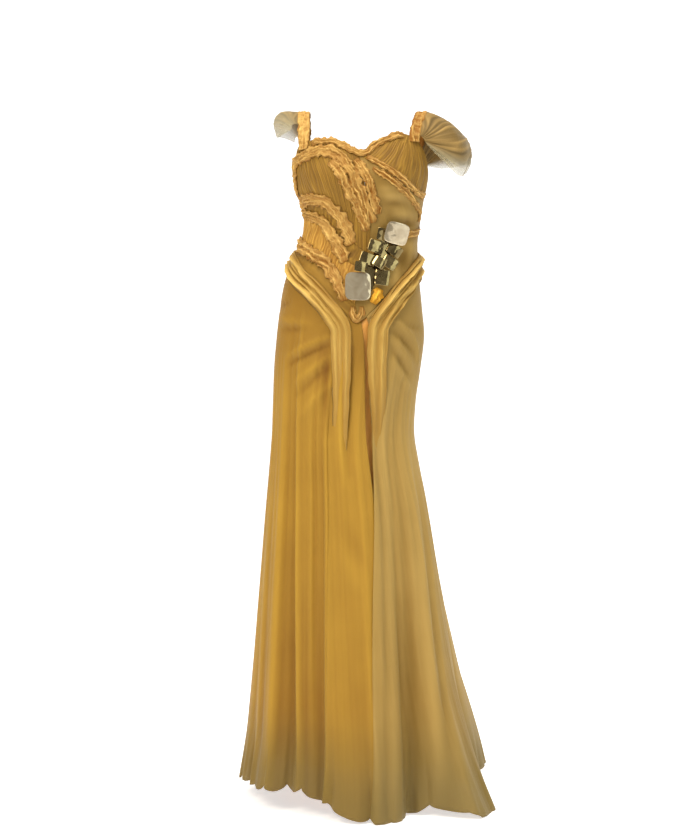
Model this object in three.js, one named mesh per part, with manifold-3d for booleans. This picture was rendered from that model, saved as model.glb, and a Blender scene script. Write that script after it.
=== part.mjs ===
// A floor-length draped evening gown in the form it has when worn, in millimetres with +Z up.
// The wearer faces -Y. "right" and "left" are the wearer's own: right is -X, left is +X.
// The origin lies midway between the tops of the two shoulder straps, where the gown is held.
import * as THREE from "three";
import { mergeVertices } from "three/addons/utils/BufferGeometryUtils.js";
import Module from "manifold-3d";

const wasm = await Module();
wasm.setup();

// ---------------------------------------------------------------- driving sizes
const CLOTH = 1.5; // wall of one layer of cloth
const SEAM = 0.3; // half of the gap between two pieces that meet edge to edge
const LIFT = CLOTH + 1.4; // height over the figure at which trim lies on the pleated panels
const CLOSE_LIFT = CLOTH + 0.8; // the same on the smooth panels
const FLOOR = -1512; // lowest edge of the gown
const FOLD_TOP = -500; // height at which the skirt's folds have their upper directions
const UNDERSKIRT_HEM = -1410;
const SIDE = 90; // turn of the side seams, in degrees from the centre front
const BACK = 180; // turn of the centre back seam
const DEG = Math.PI / 180;

const SATIN = { color: 0xc79a45, roughness: 0.6, metalness: 0 };
const CHIFFON = { color: 0xcfa451, roughness: 0.75, metalness: 0 };
const RUFFLE = { color: 0xd7a149, roughness: 0.8, metalness: 0 };
const MIRROR = { color: 0xb5ab8c, roughness: 0.12, metalness: 1 };

// The figure inside the gown: x of the right and left side, and the depth in front of and behind y = 0.
const FIGURE = [
  { z: 0, right: -150, left: 136, front: 56, back: 70 },
  { z: -60, right: -150, left: 133, front: 78, back: 84 },
  { z: -140, right: -148, left: 137, front: 97, back: 96 },
  { z: -195, right: -138, left: 128, front: 96, back: 92 },
  { z: -245, right: -129, left: 120, front: 88, back: 84 },
  { z: -290, right: -138, left: 115, front: 85, back: 84 },
  { z: -330, right: -157, left: 117, front: 90, back: 98 },
  { z: -380, right: -174, left: 121, front: 99, back: 117 },
  { z: -440, right: -184, left: 127, front: 106, back: 132 },
  { z: -490, right: -190, left: 131, front: 108, back: 136 },
  { z: -560, right: -196, left: 123, front: 108, back: 132 },
  { z: -640, right: -199, left: 112, front: 110, back: 128 },
  { z: -720, right: -202, left: 111, front: 114, back: 134 },
  { z: -870, right: -212, left: 143, front: 134, back: 165 },
  { z: -1060, right: -226, left: 179, front: 160, back: 218 },
  { z: -1240, right: -239, left: 215, front: 190, back: 282 },
  { z: -1400, right: -252, left: 251, front: 215, back: 345 },
  { z: -1512, right: -265, left: 266, front: 232, back: 392 },
];

// The two breasts as soft mounds on the front.
const BUST = [
  { x: -80, z: -146, height: 25, wide: 42, above: 52, below: 36 },
  { x: 74, z: -150, height: 25, wide: 42, above: 54, below: 36 },
];

// Lower edge of the bodice, where the skirt is sewn on, with its point at the front.
const WAIST = [
  { turn: -180, z: -340 },
  { turn: -130, z: -334 },
  { turn: -90, z: -334 },
  { turn: -62, z: -350 },
  { turn: -40, z: -374 },
  { turn: -18, z: -414 },
  { turn: -3, z: -446 },
  { turn: 6, z: -456 },
  { turn: 16, z: -436 },
  { turn: 30, z: -400 },
  { turn: 47, z: -360 },
  { turn: 67, z: -334 },
  { turn: 90, z: -327 },
  { turn: 130, z: -333 },
  { turn: 180, z: -340 },
];

// The hem hangs clear of the floor on the right side and lies on it behind and on the left.
const HEM = [
  { turn: -180, z: -1512 },
  { turn: -150, z: -1510 },
  { turn: -120, z: -1494 },
  { turn: -90, z: -1470 },
  { turn: -54, z: -1463 },
  { turn: -36, z: -1458 },
  { turn: -22, z: -1470 },
  { turn: -8, z: -1496 },
  { turn: 10, z: -1512 },
  { turn: 26, z: -1503 },
  { turn: 38, z: -1491 },
  { turn: 50, z: -1508 },
  { turn: 62, z: -1512 },
  { turn: 84, z: -1472 },
  { turn: 104, z: -1494 },
  { turn: 130, z: -1512 },
  { turn: 180, z: -1512 },
];

// Folds of the skirt: direction at FOLD_TOP and at the floor, height where the fold begins, its depth at the
// floor (ridges +, valleys -), half its width in degrees, and how late it deepens.
const FOLDS = [
  { top: -71, hem: -68, start: -1150, depth: -9, width: 5, late: 1.2 },
  { top: -60, hem: -55, start: -560, depth: 12, width: 13, late: 1.1 },
  { top: -47, hem: -39, start: -560, depth: -20, width: 7, late: 0.8 },
  { top: -36, hem: -31, start: -620, depth: 9, width: 6, late: 0.8 },
  { top: -26, hem: -24, start: -640, depth: -15, width: 6, late: 0.8 },
  { top: -15, hem: -15, start: -560, depth: 7, width: 4, late: 0.8 },
  { top: 6, hem: -6, start: -620, depth: 8, width: 8, late: 1 },
  { top: 22, hem: 9, start: -560, depth: 16, width: 9, late: 0.8 },
  { top: 38, hem: 26, start: -600, depth: -34, width: 11, late: 0.8 },
  { top: 50, hem: 42, start: -700, depth: 10, width: 9, late: 1 },
  { top: 58, hem: 53, start: -760, depth: -9, width: 5, late: 0.9 },
  { top: 58, hem: 54, start: -1120, depth: 70, width: 13, late: 2.6 },
  { top: 76, hem: 84, start: -1000, depth: -30, width: 12, late: 1.6 },
  { top: 100, hem: 103, start: -760, depth: -48, width: 17, late: 1.1 },
  { top: 118, hem: 130, start: -700, depth: 98, width: 17, late: 1.4 },
  { top: 140, hem: 149, start: -640, depth: -34, width: 9, late: 0.9 },
  { top: 160, hem: 164, start: -640, depth: 26, width: 9, late: 0.9 },
  { top: 180, hem: 180, start: -640, depth: -36, width: 9, late: 0.9 },
  { top: -160, hem: -163, start: -640, depth: 28, width: 9, late: 0.9 },
  { top: -142, hem: -146, start: -640, depth: -32, width: 9, late: 0.9 },
  { top: -126, hem: -129, start: -660, depth: 22, width: 9, late: 0.9 },
  { top: -110, hem: -111, start: -680, depth: -24, width: 8, late: 0.9 },
  { top: -94, hem: -92, start: -700, depth: 12, width: 9, late: 1 },
];

// ---------------------------------------------------------------- curves through tables
const clamp = (value, low, high) => Math.min(Math.max(value, low), high);
const smooth = (low, high, value) => THREE.MathUtils.smoothstep(value, low, high);
const mix = (a, b, share) => a + (b - a) * share;

// A smooth curve through one column of a table whose rows run up or down in the key column.
function columnAt(table, key, column, at) {
  const rising = table[1][key] > table[0][key];
  const last = table.length - 2;
  let row = table.findIndex((r, i) => i > 0 && (rising ? r[key] >= at : r[key] <= at)) - 1;
  if (row < 0) row = (rising ? at > table[0][key] : at < table[0][key]) ? last : 0;
  const slope = (i) => {
    const a = table[Math.max(i - 1, 0)];
    const b = table[Math.min(i + 1, last + 1)];
    return (b[column] - a[column]) / (b[key] - a[key]);
  };
  const [from, to] = [table[row], table[row + 1]];
  const span = to[key] - from[key];
  const t = clamp((at - from[key]) / span, 0, 1);
  const t2 = t * t;
  const t3 = t2 * t;
  return (
    (2 * t3 - 3 * t2 + 1) * from[column] +
    (t3 - 2 * t2 + t) * span * slope(row) +
    (3 * t2 - 2 * t3) * to[column] +
    (t3 - t2) * span * slope(row + 1)
  );
}

const figureAt = (column, z) => columnAt(FIGURE, "z", column, z);
const wrap = (turn) => ((((turn + 180) % 360) + 360) % 360) - 180;
const waistAt = (turn) => columnAt(WAIST, "turn", "z", wrap(turn));
const hemAt = (turn) => columnAt(HEM, "turn", "z", wrap(turn));

// How far the skirt's folds stand out from the figure, and in which direction around it they lie.
function foldsAt(turn, z) {
  let out = 0;
  for (const fold of FOLDS) {
    const share = clamp((fold.start - z) / (fold.start - FLOOR), 0, 1);
    if (share === 0) continue;
    const down = clamp((FOLD_TOP - z) / (FOLD_TOP - FLOOR), 0, 1);
    const away = wrap(turn - mix(fold.top, fold.hem, down)) / fold.width;
    if (Math.abs(away) < 2) out += fold.depth * share ** fold.late * Math.cos((away * Math.PI) / 4) ** 2;
  }
  return out;
}

// A point of the figure's surface. turn is 0 at the centre front and grows towards the left side.
function surfaceAt(turn, z, folded = true) {
  const [right, left] = [figureAt("right", z), figureAt("left", z)];
  const [middle, half] = [(left + right) / 2, (left - right) / 2];
  const [across, ahead] = [Math.sin(turn * DEG), Math.cos(turn * DEG)];
  const depth = ahead > 0 ? figureAt("front", z) : figureAt("back", z);
  const point = new THREE.Vector3(middle + half * across, -depth * ahead, z);
  if (ahead > 0)
    for (const mound of BUST) {
      const up = z - mound.z;
      const spread = ((point.x - mound.x) / mound.wide) ** 2 + (up / (up > 0 ? mound.above : mound.below)) ** 2;
      point.y -= mound.height * Math.exp(-spread / 2) * Math.sqrt(ahead);
    }
  const stand = folded && z < FOLD_TOP ? foldsAt(turn, z) : 0;
  if (stand) {
    const outward = new THREE.Vector3(across / half, -ahead / depth, 0).normalize();
    point.addScaledVector(outward, stand);
  }
  return point;
}

function normalAt(turn, z, folded = true) {
  const around = surfaceAt(turn + 0.4, z, folded).sub(surfaceAt(turn - 0.4, z, folded));
  const up = surfaceAt(turn, z + 1, folded).sub(surfaceAt(turn, z - 1, folded));
  return around.cross(up).normalize();
}

const raisedAt = (turn, z, height, folded = true) =>
  surfaceAt(turn, z, folded).addScaledVector(normalAt(turn, z, folded), height);

// Rows give either a turn or, on the front, an x seen from straight ahead.
function turnOf(row) {
  if (row.turn !== undefined) return row.turn;
  const [right, left] = [figureAt("right", row.z), figureAt("left", row.z)];
  return Math.asin(clamp((2 * row.x - left - right) / (left - right), -1, 1)) / DEG;
}

// A route over the figure: share of its length -> turn and z.
const ARC = 2.4; // millimetres that one degree of turn measures, roughly, where routes are spaced out
function route(rows) {
  const points = rows.map((row) => new THREE.Vector3(turnOf(row) * ARC, row.z, 0));
  const curve = new THREE.CatmullRomCurve3(points, false, "centripetal");
  return (share) => {
    const point = curve.getPointAt(clamp(share, 0, 1));
    return { turn: point.x / ARC, z: point.y };
  };
}

const polyline = (rows) => {
  const curve = new THREE.CurvePath();
  const points = rows.map((row) => new THREE.Vector3(turnOf(row) * ARC, row.z, 0));
  points.slice(1).forEach((point, i) => curve.add(new THREE.LineCurve3(points[i], point)));
  return (share) => {
    const point = curve.getPointAt(clamp(share, 0, 1));
    return { turn: point.x / ARC, z: point.y };
  };
};

const alongWaist = (from, to) => (share) => {
  const turn = mix(from, to, share);
  return { turn, z: waistAt(turn) };
};

const between = (a, b, share) => ({ turn: mix(a.turn, b.turn, share), z: mix(a.z, b.z, share) });
const apart = (a, b) => surfaceAt(a.turn, a.z).distanceTo(surfaceAt(b.turn, b.z));

// ---------------------------------------------------------------- closed meshes
function meshOf(name, geometry, look) {
  geometry.computeVertexNormals();
  const mesh = new THREE.Mesh(geometry, new THREE.MeshStandardMaterial(look));
  mesh.name = name;
  return mesh;
}

// Turns the faces over where they enclose a negative volume.
function facingOut(points, faces) {
  const volume = faces.reduce((sum, [a, b, c]) => {
    const [p, q, r] = [points[a], points[b], points[c]];
    return sum + p.dot(q.clone().cross(r));
  }, 0);
  const index = volume < 0 ? faces.flatMap(([a, b, c]) => [a, c, b]) : faces.flat();
  const positions = new Float32Array(points.flatMap((p) => p.toArray()));
  return new THREE.BufferGeometry()
    .setAttribute("position", new THREE.BufferAttribute(positions, 3))
    .setIndex(index);
}

// A wall between an outer and an inner grid of points, given as rows of columns.
function wallBetween(outer, inner, closed = false) {
  const [rows, columns] = [outer.length, outer[0].length];
  const points = [...outer.flat(), ...inner.flat()];
  const at = (side, row, column) => side * rows * columns + row * columns + (column % columns);
  const faces = [];
  const quad = (a, b, c, d) => faces.push([a, b, c], [a, c, d]);
  const spans = closed ? columns : columns - 1;
  for (let r = 0; r < rows - 1; r++)
    for (let c = 0; c < spans; c++) {
      quad(at(0, r, c), at(0, r, c + 1), at(0, r + 1, c + 1), at(0, r + 1, c));
      quad(at(1, r, c), at(1, r + 1, c), at(1, r + 1, c + 1), at(1, r, c + 1));
    }
  for (let c = 0; c < spans; c++) {
    quad(at(1, 0, c), at(1, 0, c + 1), at(0, 0, c + 1), at(0, 0, c));
    quad(at(0, rows - 1, c), at(0, rows - 1, c + 1), at(1, rows - 1, c + 1), at(1, rows - 1, c));
  }
  if (!closed)
    for (let r = 0; r < rows - 1; r++) {
      quad(at(0, r, 0), at(0, r + 1, 0), at(1, r + 1, 0), at(1, r, 0));
      quad(at(1, r, columns - 1), at(1, r + 1, columns - 1), at(0, r + 1, columns - 1), at(0, r, columns - 1));
    }
  return facingOut(points, faces);
}

// A bar through closed sections that all have the same number of points.
function barThrough(sections) {
  const size = sections[0].length;
  const points = sections.flat();
  const faces = [];
  for (let i = 0; i < sections.length - 1; i++)
    for (let j = 0; j < size; j++) {
      const next = (j + 1) % size;
      const [a, b] = [i * size + j, i * size + next];
      faces.push([a, b, b + size], [a, b + size, a + size]);
    }
  for (const [start, turned] of [[0, false], [(sections.length - 1) * size, true]]) {
    const ring = points.slice(start, start + size);
    const centre = ring.reduce((sum, p) => sum.add(p), new THREE.Vector3()).divideScalar(size);
    points.push(centre);
    for (let j = 0; j < size; j++) {
      const [a, b] = [start + j, start + ((j + 1) % size)];
      faces.push(turned ? [a, b, points.length - 1] : [b, a, points.length - 1]);
    }
  }
  return facingOut(points, faces);
}

function joined(geometries) {
  const solids = geometries.map((geometry) => {
    const bare = geometry.clone();
    bare.deleteAttribute("normal");
    bare.deleteAttribute("uv");
    const merged = mergeVertices(bare, 1e-4);
    return new wasm.Manifold(
      new wasm.Mesh({
        numProp: 3,
        vertProperties: new Float32Array(merged.attributes.position.array),
        triVerts: new Uint32Array(merged.index.array),
      }),
    );
  });
  const mesh = solids.reduce((a, b) => a.add(b)).getMesh();
  return new THREE.BufferGeometry()
    .setAttribute("position", new THREE.BufferAttribute(mesh.vertProperties, 3))
    .setIndex(new THREE.BufferAttribute(mesh.triVerts, 1));
}

// ---------------------------------------------------------------- bodice panels
// A panel between four routes. Pleats run from its top edge to its bottom edge and fade out at the seams.
function panel(name, { top, bottom, left, right, columns, rows, pleats = 0, rise = 0 }) {
  const corner = (u, v) => {
    if (!left) return between(top(u), bottom(u), v);
    const [a, b, c, d] = [top(u), bottom(u), left(v), right(v)];
    const [tl, tr, bl, br] = [top(0), top(1), bottom(0), bottom(1)];
    const blend = (key) =>
      mix(a[key], b[key], v) +
      mix(c[key], d[key], u) -
      mix(mix(tl[key], tr[key], u), mix(bl[key], br[key], u), v);
    return { turn: blend("turn"), z: blend("z") };
  };
  const outer = [];
  const inner = [];
  for (let r = 0; r <= rows; r++) {
    outer.push([]);
    inner.push([]);
    for (let c = 0; c <= columns; c++) {
      const length = apart(top(c / columns), bottom(c / columns));
      const breadth = apart(corner(0, r / rows), corner(1, r / rows));
      const v = mix(SEAM / length, 1 - SEAM / length, r / rows);
      const u = mix(SEAM / breadth, 1 - SEAM / breadth, c / columns);
      const at = corner(u, v);
      const inside = smooth(0, 0.22, v) * smooth(1, 0.78, v) * smooth(0, 0.06, u) * smooth(1, 0.94, u);
      const pleat = rise * inside * Math.sin(Math.PI * pleats * u) ** 2;
      outer[r].push(raisedAt(at.turn, at.z, CLOTH + pleat));
      inner[r].push(raisedAt(at.turn, at.z, 0));
    }
  }
  return meshOf(name, wallBetween(outer, inner), CHIFFON);
}

const neckRight = route([
  { turn: -SIDE, z: -128 },
  { turn: -80, z: -104 },
  { x: -142, z: -82 },
  { x: -128, z: -73 },
  { x: -100, z: -66 },
  { x: -64, z: -68 },
  { x: -40, z: -80 },
  { x: -13, z: -97 },
]);
const ribUpper = route([
  { turn: -SIDE, z: -196 },
  { x: -101, z: -196 },
  { x: -75, z: -207 },
  { x: -53, z: -231 },
  { x: -35, z: -264 },
  { x: -16, z: -295 },
  { x: 6, z: -312 },
]);
const ribLower = route([
  { turn: -SIDE, z: -226 },
  { x: -108, z: -229 },
  { x: -86, z: -244 },
  { x: -66, z: -273 },
  { x: -51, z: -306 },
  { x: -31, z: -332 },
  { x: -4, z: -345 },
]);
const fanEdge = route([
  { turn: -SIDE, z: -288 },
  { x: -133, z: -296 },
  { x: -114, z: -309 },
  { x: -92, z: -324 },
  { x: -73, z: -348 },
  { x: -59, z: -371 },
  { x: -46, z: -396 },
  { x: -22, z: -418 },
]);
const gatherLeft = route([
  { x: 70, z: -54 },
  { x: 90, z: -56 },
  { x: 108, z: -64 },
  { x: 121, z: -78 },
]);
const neckLeft = route([
  { x: 70, z: -54 },
  { x: 46, z: -66 },
  { x: 22, z: -82 },
  { x: 4, z: -94 },
  { x: -13, z: -97 },
]);
const crossing = route([
  { x: -13, z: -97 },
  { x: 4, z: -112 },
  { x: 31, z: -127 },
  { x: 62, z: -147 },
  { x: 90, z: -169 },
  { x: 112, z: -188 },
  { turn: 80, z: -197 },
  { turn: SIDE, z: -200 },
]);
const armholeLeft = polyline([
  { x: 121, z: -78 },
  { turn: 80, z: -108 },
  { turn: SIDE, z: -136 },
  { turn: SIDE, z: -200 },
]);
const CENTRE_POINT = 6; // turn of the bodice's lowest point
const centreSeam = polyline([
  { x: -13, z: -97 },
  { x: 11, z: -312 },
  { x: 0, z: -345 },
  { x: -21, z: -418 },
  { turn: CENTRE_POINT, z: waistAt(CENTRE_POINT) },
]);

const bodice = [
  panel("cup_right", { top: neckRight, bottom: ribUpper, columns: 20, rows: 8, pleats: 10, rise: 2.2 }),
  panel("rib_band_right", { top: ribUpper, bottom: ribLower, columns: 20, rows: 2 }),
  panel("waist_fan_right", { top: ribLower, bottom: fanEdge, columns: 20, rows: 4, pleats: 10, rise: 1.8 }),
  panel("basque_right", { top: fanEdge, bottom: alongWaist(-SIDE, CENTRE_POINT), columns: 20, rows: 2 }),
  panel("cup_left", {
    top: gatherLeft,
    bottom: crossing,
    left: neckLeft,
    right: armholeLeft,
    columns: 20,
    rows: 6,
    pleats: 10,
    rise: 2.0,
  }),
  panel("midriff_left", {
    top: crossing,
    bottom: alongWaist(CENTRE_POINT, SIDE),
    left: centreSeam,
    right: polyline([{ turn: SIDE, z: -200 }, { turn: SIDE, z: waistAt(SIDE) }]),
    columns: 14,
    rows: 9,
  }),
  panel("bodice_back", {
    top: route([
      { turn: SIDE, z: -136 },
      { turn: 125, z: -148 },
      { turn: 155, z: -166 },
      { turn: 180, z: -172 },
      { turn: 205, z: -166 },
      { turn: 235, z: -146 },
      { turn: 270, z: -128 },
    ]),
    bottom: alongWaist(SIDE, 270),
    columns: 24,
    rows: 7,
  }),
];

// ---------------------------------------------------------------- skirt
const skirtRightEdge = route([
  { x: -60, z: -428 },
  { x: -62, z: -560 },
  { x: -66, z: -900 },
  { x: -70, z: -1480 },
]);
const centreRightEdge = route([
  { x: -59, z: -428 },
  { x: -59, z: -515 },
  { x: -70, z: -600 },
  { x: -76, z: -900 },
  { x: -82, z: -1480 },
]);
const centreLeftEdge = route([
  { x: -8, z: -456 },
  { x: -6, z: -560 },
  { x: -6, z: -690 },
  { x: 10, z: -790 },
  { x: 24, z: -900 },
  { x: 26, z: -1490 },
]);
const skirtLeftEdge = route([
  { x: 4, z: -446 },
  { x: 15, z: -500 },
  { x: 18, z: -700 },
  { x: 19, z: -870 },
  { x: 14, z: -1100 },
  { x: 10, z: -1500 },
]);

// A skirt panel from one edge to the other. layer(u, v) is the height of its inner face over the folded figure.
function skirtPanel(name, edgeA, edgeB, columns, rows, layer = () => 0) {
  const outer = [];
  const inner = [];
  for (let r = 0; r <= rows; r++) {
    const v = r / rows;
    outer.push([]);
    inner.push([]);
    for (let c = 0; c <= columns; c++) {
      const u = c / columns;
      const turn = mix(edgeA(v).turn, edgeB(v).turn, u);
      const z = mix(waistAt(turn) - 2 * SEAM, hemAt(turn), v);
      outer[r].push(raisedAt(turn, z, layer(u, v) + CLOTH));
      inner[r].push(raisedAt(turn, z, layer(u, v)));
    }
  }
  return meshOf(name, wallBetween(outer, inner), CHIFFON);
}

const backSeam = (turn) => () => ({ turn });
const BACK_GAP = 0.1; // degrees from the centre back to the edge of either skirt panel
const SKIRT_ROWS = 12;
const LAP = { over: 2.8, under: -3.2 }; // heights of the centre panel's right and left edge
const lapAt = (u, v) => mix(LAP.over, LAP.under, u) * clamp(v * SKIRT_ROWS, 0, 1);
const skirt = [
  skirtPanel("skirt_right", backSeam(-BACK + BACK_GAP), skirtRightEdge, 38, SKIRT_ROWS),
  skirtPanel("skirt_center", centreRightEdge, centreLeftEdge, 8, SKIRT_ROWS, lapAt),
  skirtPanel("skirt_left", skirtLeftEdge, backSeam(BACK - BACK_GAP), 42, SKIRT_ROWS),
];

// The plain underskirt, inside every fold of the skirt.
function underskirt() {
  const [columns, rows] = [28, 7];
  const outer = [];
  const inner = [];
  for (let r = 0; r <= rows; r++) {
    const v = r / rows;
    const inset = 0.8 + 4.6 * smooth(0, 0.09, v) + 52 * v ** 1.5;
    outer.push([]);
    inner.push([]);
    for (let c = 0; c < columns; c++) {
      const turn = (c / columns) * 360 - BACK;
      const z = mix(waistAt(turn) - 2, UNDERSKIRT_HEM, v);
      outer[r].push(raisedAt(turn, z, -inset, false));
      inner[r].push(raisedAt(turn, z, -inset - CLOTH, false));
    }
  }
  return meshOf("underskirt", wallBetween(outer, inner, true), SATIN);
}

// ---------------------------------------------------------------- gathers, ruffles and drapes on the panels
// Lays sections along a route: section(share, index) gives points with a side offset s, up to the left of the
// route's direction, and a height h over the panels.
function layAlong(path, stations, section, lift) {
  const sections = [];
  for (let i = 0; i <= stations; i++) {
    const share = i / stations;
    const [before, at, after] = [path(share - 0.5 / stations), path(share), path(share + 0.5 / stations)];
    const perDegree = surfaceAt(at.turn + 0.5, at.z).distanceTo(surfaceAt(at.turn - 0.5, at.z));
    const heading = new THREE.Vector2((after.turn - before.turn) * perDegree, after.z - before.z).normalize();
    sections.push(
      section(share, i).map(({ s, h }) => {
        const turn = at.turn - (s * heading.y) / perDegree;
        const z = at.z + s * heading.x;
        return raisedAt(turn, z, lift(share, s) + h);
      }),
    );
  }
  return barThrough(sections);
}

// A gathered ruffle: a soft roll whose crest swings from side to side, once for each wave.
function ruffle(name, path, { width, height, waves, lift = LIFT }) {
  const swing = width * 0.16;
  const section = (share, i) => {
    const end = Math.sqrt(clamp(Math.min(share, 1 - share) * 14 + 0.15, 0, 1));
    const side = i % 2 ? 1 : -1;
    const [half, crest] = [(width / 2) * end, height * end * (i % 2 ? 1 : 0.82)];
    return [
      { s: -half - side * swing * 0.5, h: 0 },
      { s: half - side * swing * 0.5, h: 0 },
      { s: half * 0.72 + side * swing, h: crest * 0.8 },
      { s: side * swing, h: crest },
      { s: -half * 0.72 + side * swing, h: crest * 0.6 },
    ];
  };
  return meshOf(name, layAlong(path, 2 * waves, section, () => lift), RUFFLE);
}

const RUFFLES = [
  {
    name: "neck_binding",
    width: 13, height: 7, waves: 19, lift: CLOTH + 1,
    rows: [
      { x: -112, z: -77 },
      { x: -100, z: -73 },
      { x: -64, z: -74 },
      { x: -40, z: -86 },
      { x: -14, z: -98 },
      { x: 6, z: -94 },
      { x: 24, z: -80 },
      { x: 46, z: -68 },
      { x: 66, z: -59 },
      { x: 84, z: -59 },
    ],
  },
  {
    name: "ruffle_cup",
    width: 15, height: 9, waves: 20,
    rows: [
      { turn: -86, z: -190 },
      { turn: -84, z: -150 },
      { turn: -80, z: -122 },
      { x: -138, z: -109 },
      { x: -112, z: -96 },
      { x: -78, z: -94 },
      { x: -54, z: -106 },
      { x: -38, z: -122 },
      { x: -24, z: -147 },
      { x: -12, z: -172 },
      { x: 1, z: -200 },
      { x: 9, z: -226 },
      { x: 14, z: -246 },
    ],
  },
  {
    name: "ruffle_cup_inner",
    width: 15, height: 8, waves: 11,
    rows: [
      { x: -72, z: -116 },
      { x: -57, z: -134 },
      { x: -45, z: -157 },
      { x: -33, z: -181 },
      { x: -18, z: -204 },
      { x: -8, z: -230 },
      { x: 4, z: -262 },
    ],
  },
  {
    name: "ruffle_center",
    width: 14, height: 8, waves: 9, lift: CLOSE_LIFT,
    rows: [
      { x: -20, z: -112 },
      { x: -9, z: -128 },
      { x: 6, z: -150 },
      { x: 16, z: -174 },
      { x: 22, z: -200 },
      { x: 30, z: -226 },
    ],
  },
  {
    name: "ruffle_cross_upper",
    width: 12, height: 7, waves: 9, lift: CLOSE_LIFT,
    rows: [
      { x: 4, z: -108 },
      { x: 28, z: -118 },
      { x: 60, z: -138 },
      { x: 88, z: -160 },
      { x: 112, z: -178 },
      { turn: 84, z: -186 },
    ],
  },
  {
    name: "ruffle_cross_lower",
    width: 13, height: 7, waves: 12, lift: CLOSE_LIFT,
    rows: [
      { x: 17, z: -131 },
      { x: 38, z: -142 },
      { x: 62, z: -158 },
      { x: 83, z: -176 },
      { x: 100, z: -191 },
      { x: 109, z: -206 },
      { turn: 74, z: -224 },
      { turn: 74, z: -242 },
    ],
  },
  {
    name: "ruffle_rib_upper",
    width: 15, height: 8, waves: 11,
    rows: [
      { turn: -84, z: -200 },
      { x: -124, z: -197 },
      { x: -101, z: -196 },
      { x: -75, z: -207 },
      { x: -54, z: -232 },
      { x: -37, z: -264 },
      { x: -24, z: -290 },
    ],
  },
  {
    name: "ruffle_rib_lower",
    width: 16, height: 8, waves: 11,
    rows: [
      { turn: -84, z: -222 },
      { x: -126, z: -224 },
      { x: -106, z: -230 },
      { x: -86, z: -246 },
      { x: -67, z: -274 },
      { x: -52, z: -306 },
      { x: -42, z: -330 },
    ],
  },
  {
    name: "ruffle_waist",
    width: 20, height: 10, waves: 12,
    rows: [
      { turn: -92, z: -290 },
      { turn: -78, z: -289 },
      { x: -133, z: -296 },
      { x: -114, z: -309 },
      { x: -92, z: -324 },
      { x: -73, z: -348 },
      { x: -59, z: -371 },
      { x: -47, z: -396 },
      { x: -42, z: -412 },
    ],
  },
  {
    name: "front_tuck",
    width: 13, height: 8, waves: 4, lift: CLOSE_LIFT,
    rows: [
      { x: -24, z: -424 },
      { x: -25, z: -440 },
      { x: -15, z: -452 },
      { x: -6, z: -440 },
      { x: -6, z: -424 },
    ],
  },
  {
    name: "ornament_tuft",
    width: 18, height: 12, waves: 3, lift: CLOSE_LIFT,
    rows: [
      { x: 18, z: -418 },
      { x: 25, z: -402 },
      { x: 32, z: -386 },
    ],
  },
  {
    name: "side_tuck_left",
    width: 17, height: 6, waves: 4, lift: CLOSE_LIFT,
    rows: [
      { x: 88, z: -272 },
      { x: 102, z: -268 },
      { turn: 79, z: -263 },
      { turn: 92, z: -258 },
    ],
  },
];

// A swag of soft rolls side by side. They start behind the hip, meet at the front and fall as folds.
function hipDrape(name, rows, { rolls, width, height, fallen }) {
  const under = 4;
  const section = (share) => {
    const end = Math.sqrt(clamp(Math.min(share * 8, (1 - share) * 5) + 0.1, 0, 1));
    const half = (width / 2) * mix(0.75, 1, end) * mix(1, 0.7, smooth(fallen, 1, share));
    const tall = height * end * mix(1, 0.4, smooth(fallen, 1, share));
    const ring = [];
    for (let i = 0; i <= under; i++) ring.push({ s: mix(-half, half, i / under), h: 0 });
    for (let i = 1; i < 2 * rolls; i++)
      ring.push({ s: mix(half, -half, i / (2 * rolls)), h: tall * (i % 2 ? 1 : 0.5) });
    return ring;
  };
  // The lower part lies on the lapped edges of the skirt's panels, and so a little higher.
  const lift = (share) => LIFT + 3.4 * smooth(fallen - 0.22, fallen, share);
  return meshOf(name, layAlong(route(rows), 26, section, lift), CHIFFON);
}

const drapes = [
  hipDrape(
    "hip_drape_right",
    [
      { turn: -140, z: -322 },
      { turn: -112, z: -322 },
      { turn: -SIDE, z: -330 },
      { turn: -70, z: -344 },
      { x: -141, z: -364 },
      { x: -117, z: -386 },
      { x: -92, z: -412 },
      { x: -68, z: -442 },
      { x: -54, z: -476 },
      { x: -50, z: -520 },
      { x: -50, z: -600 },
      { x: -53, z: -700 },
      { x: -56, z: -800 },
    ],
    { rolls: 3, width: 44, height: 13, fallen: 0.52 },
  ),
  hipDrape(
    "hip_drape_left",
    [
      { turn: 140, z: -322 },
      { turn: 112, z: -324 },
      { turn: SIDE, z: -336 },
      { turn: 72, z: -350 },
      { x: 97, z: -372 },
      { x: 78, z: -394 },
      { x: 58, z: -420 },
      { x: 40, z: -448 },
      { x: 30, z: -480 },
      { x: 27, z: -530 },
      { x: 27, z: -600 },
      { x: 30, z: -700 },
      { x: 34, z: -790 },
    ],
    { rolls: 3, width: 46, height: 13, fallen: 0.52 },
  ),
];

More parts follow.
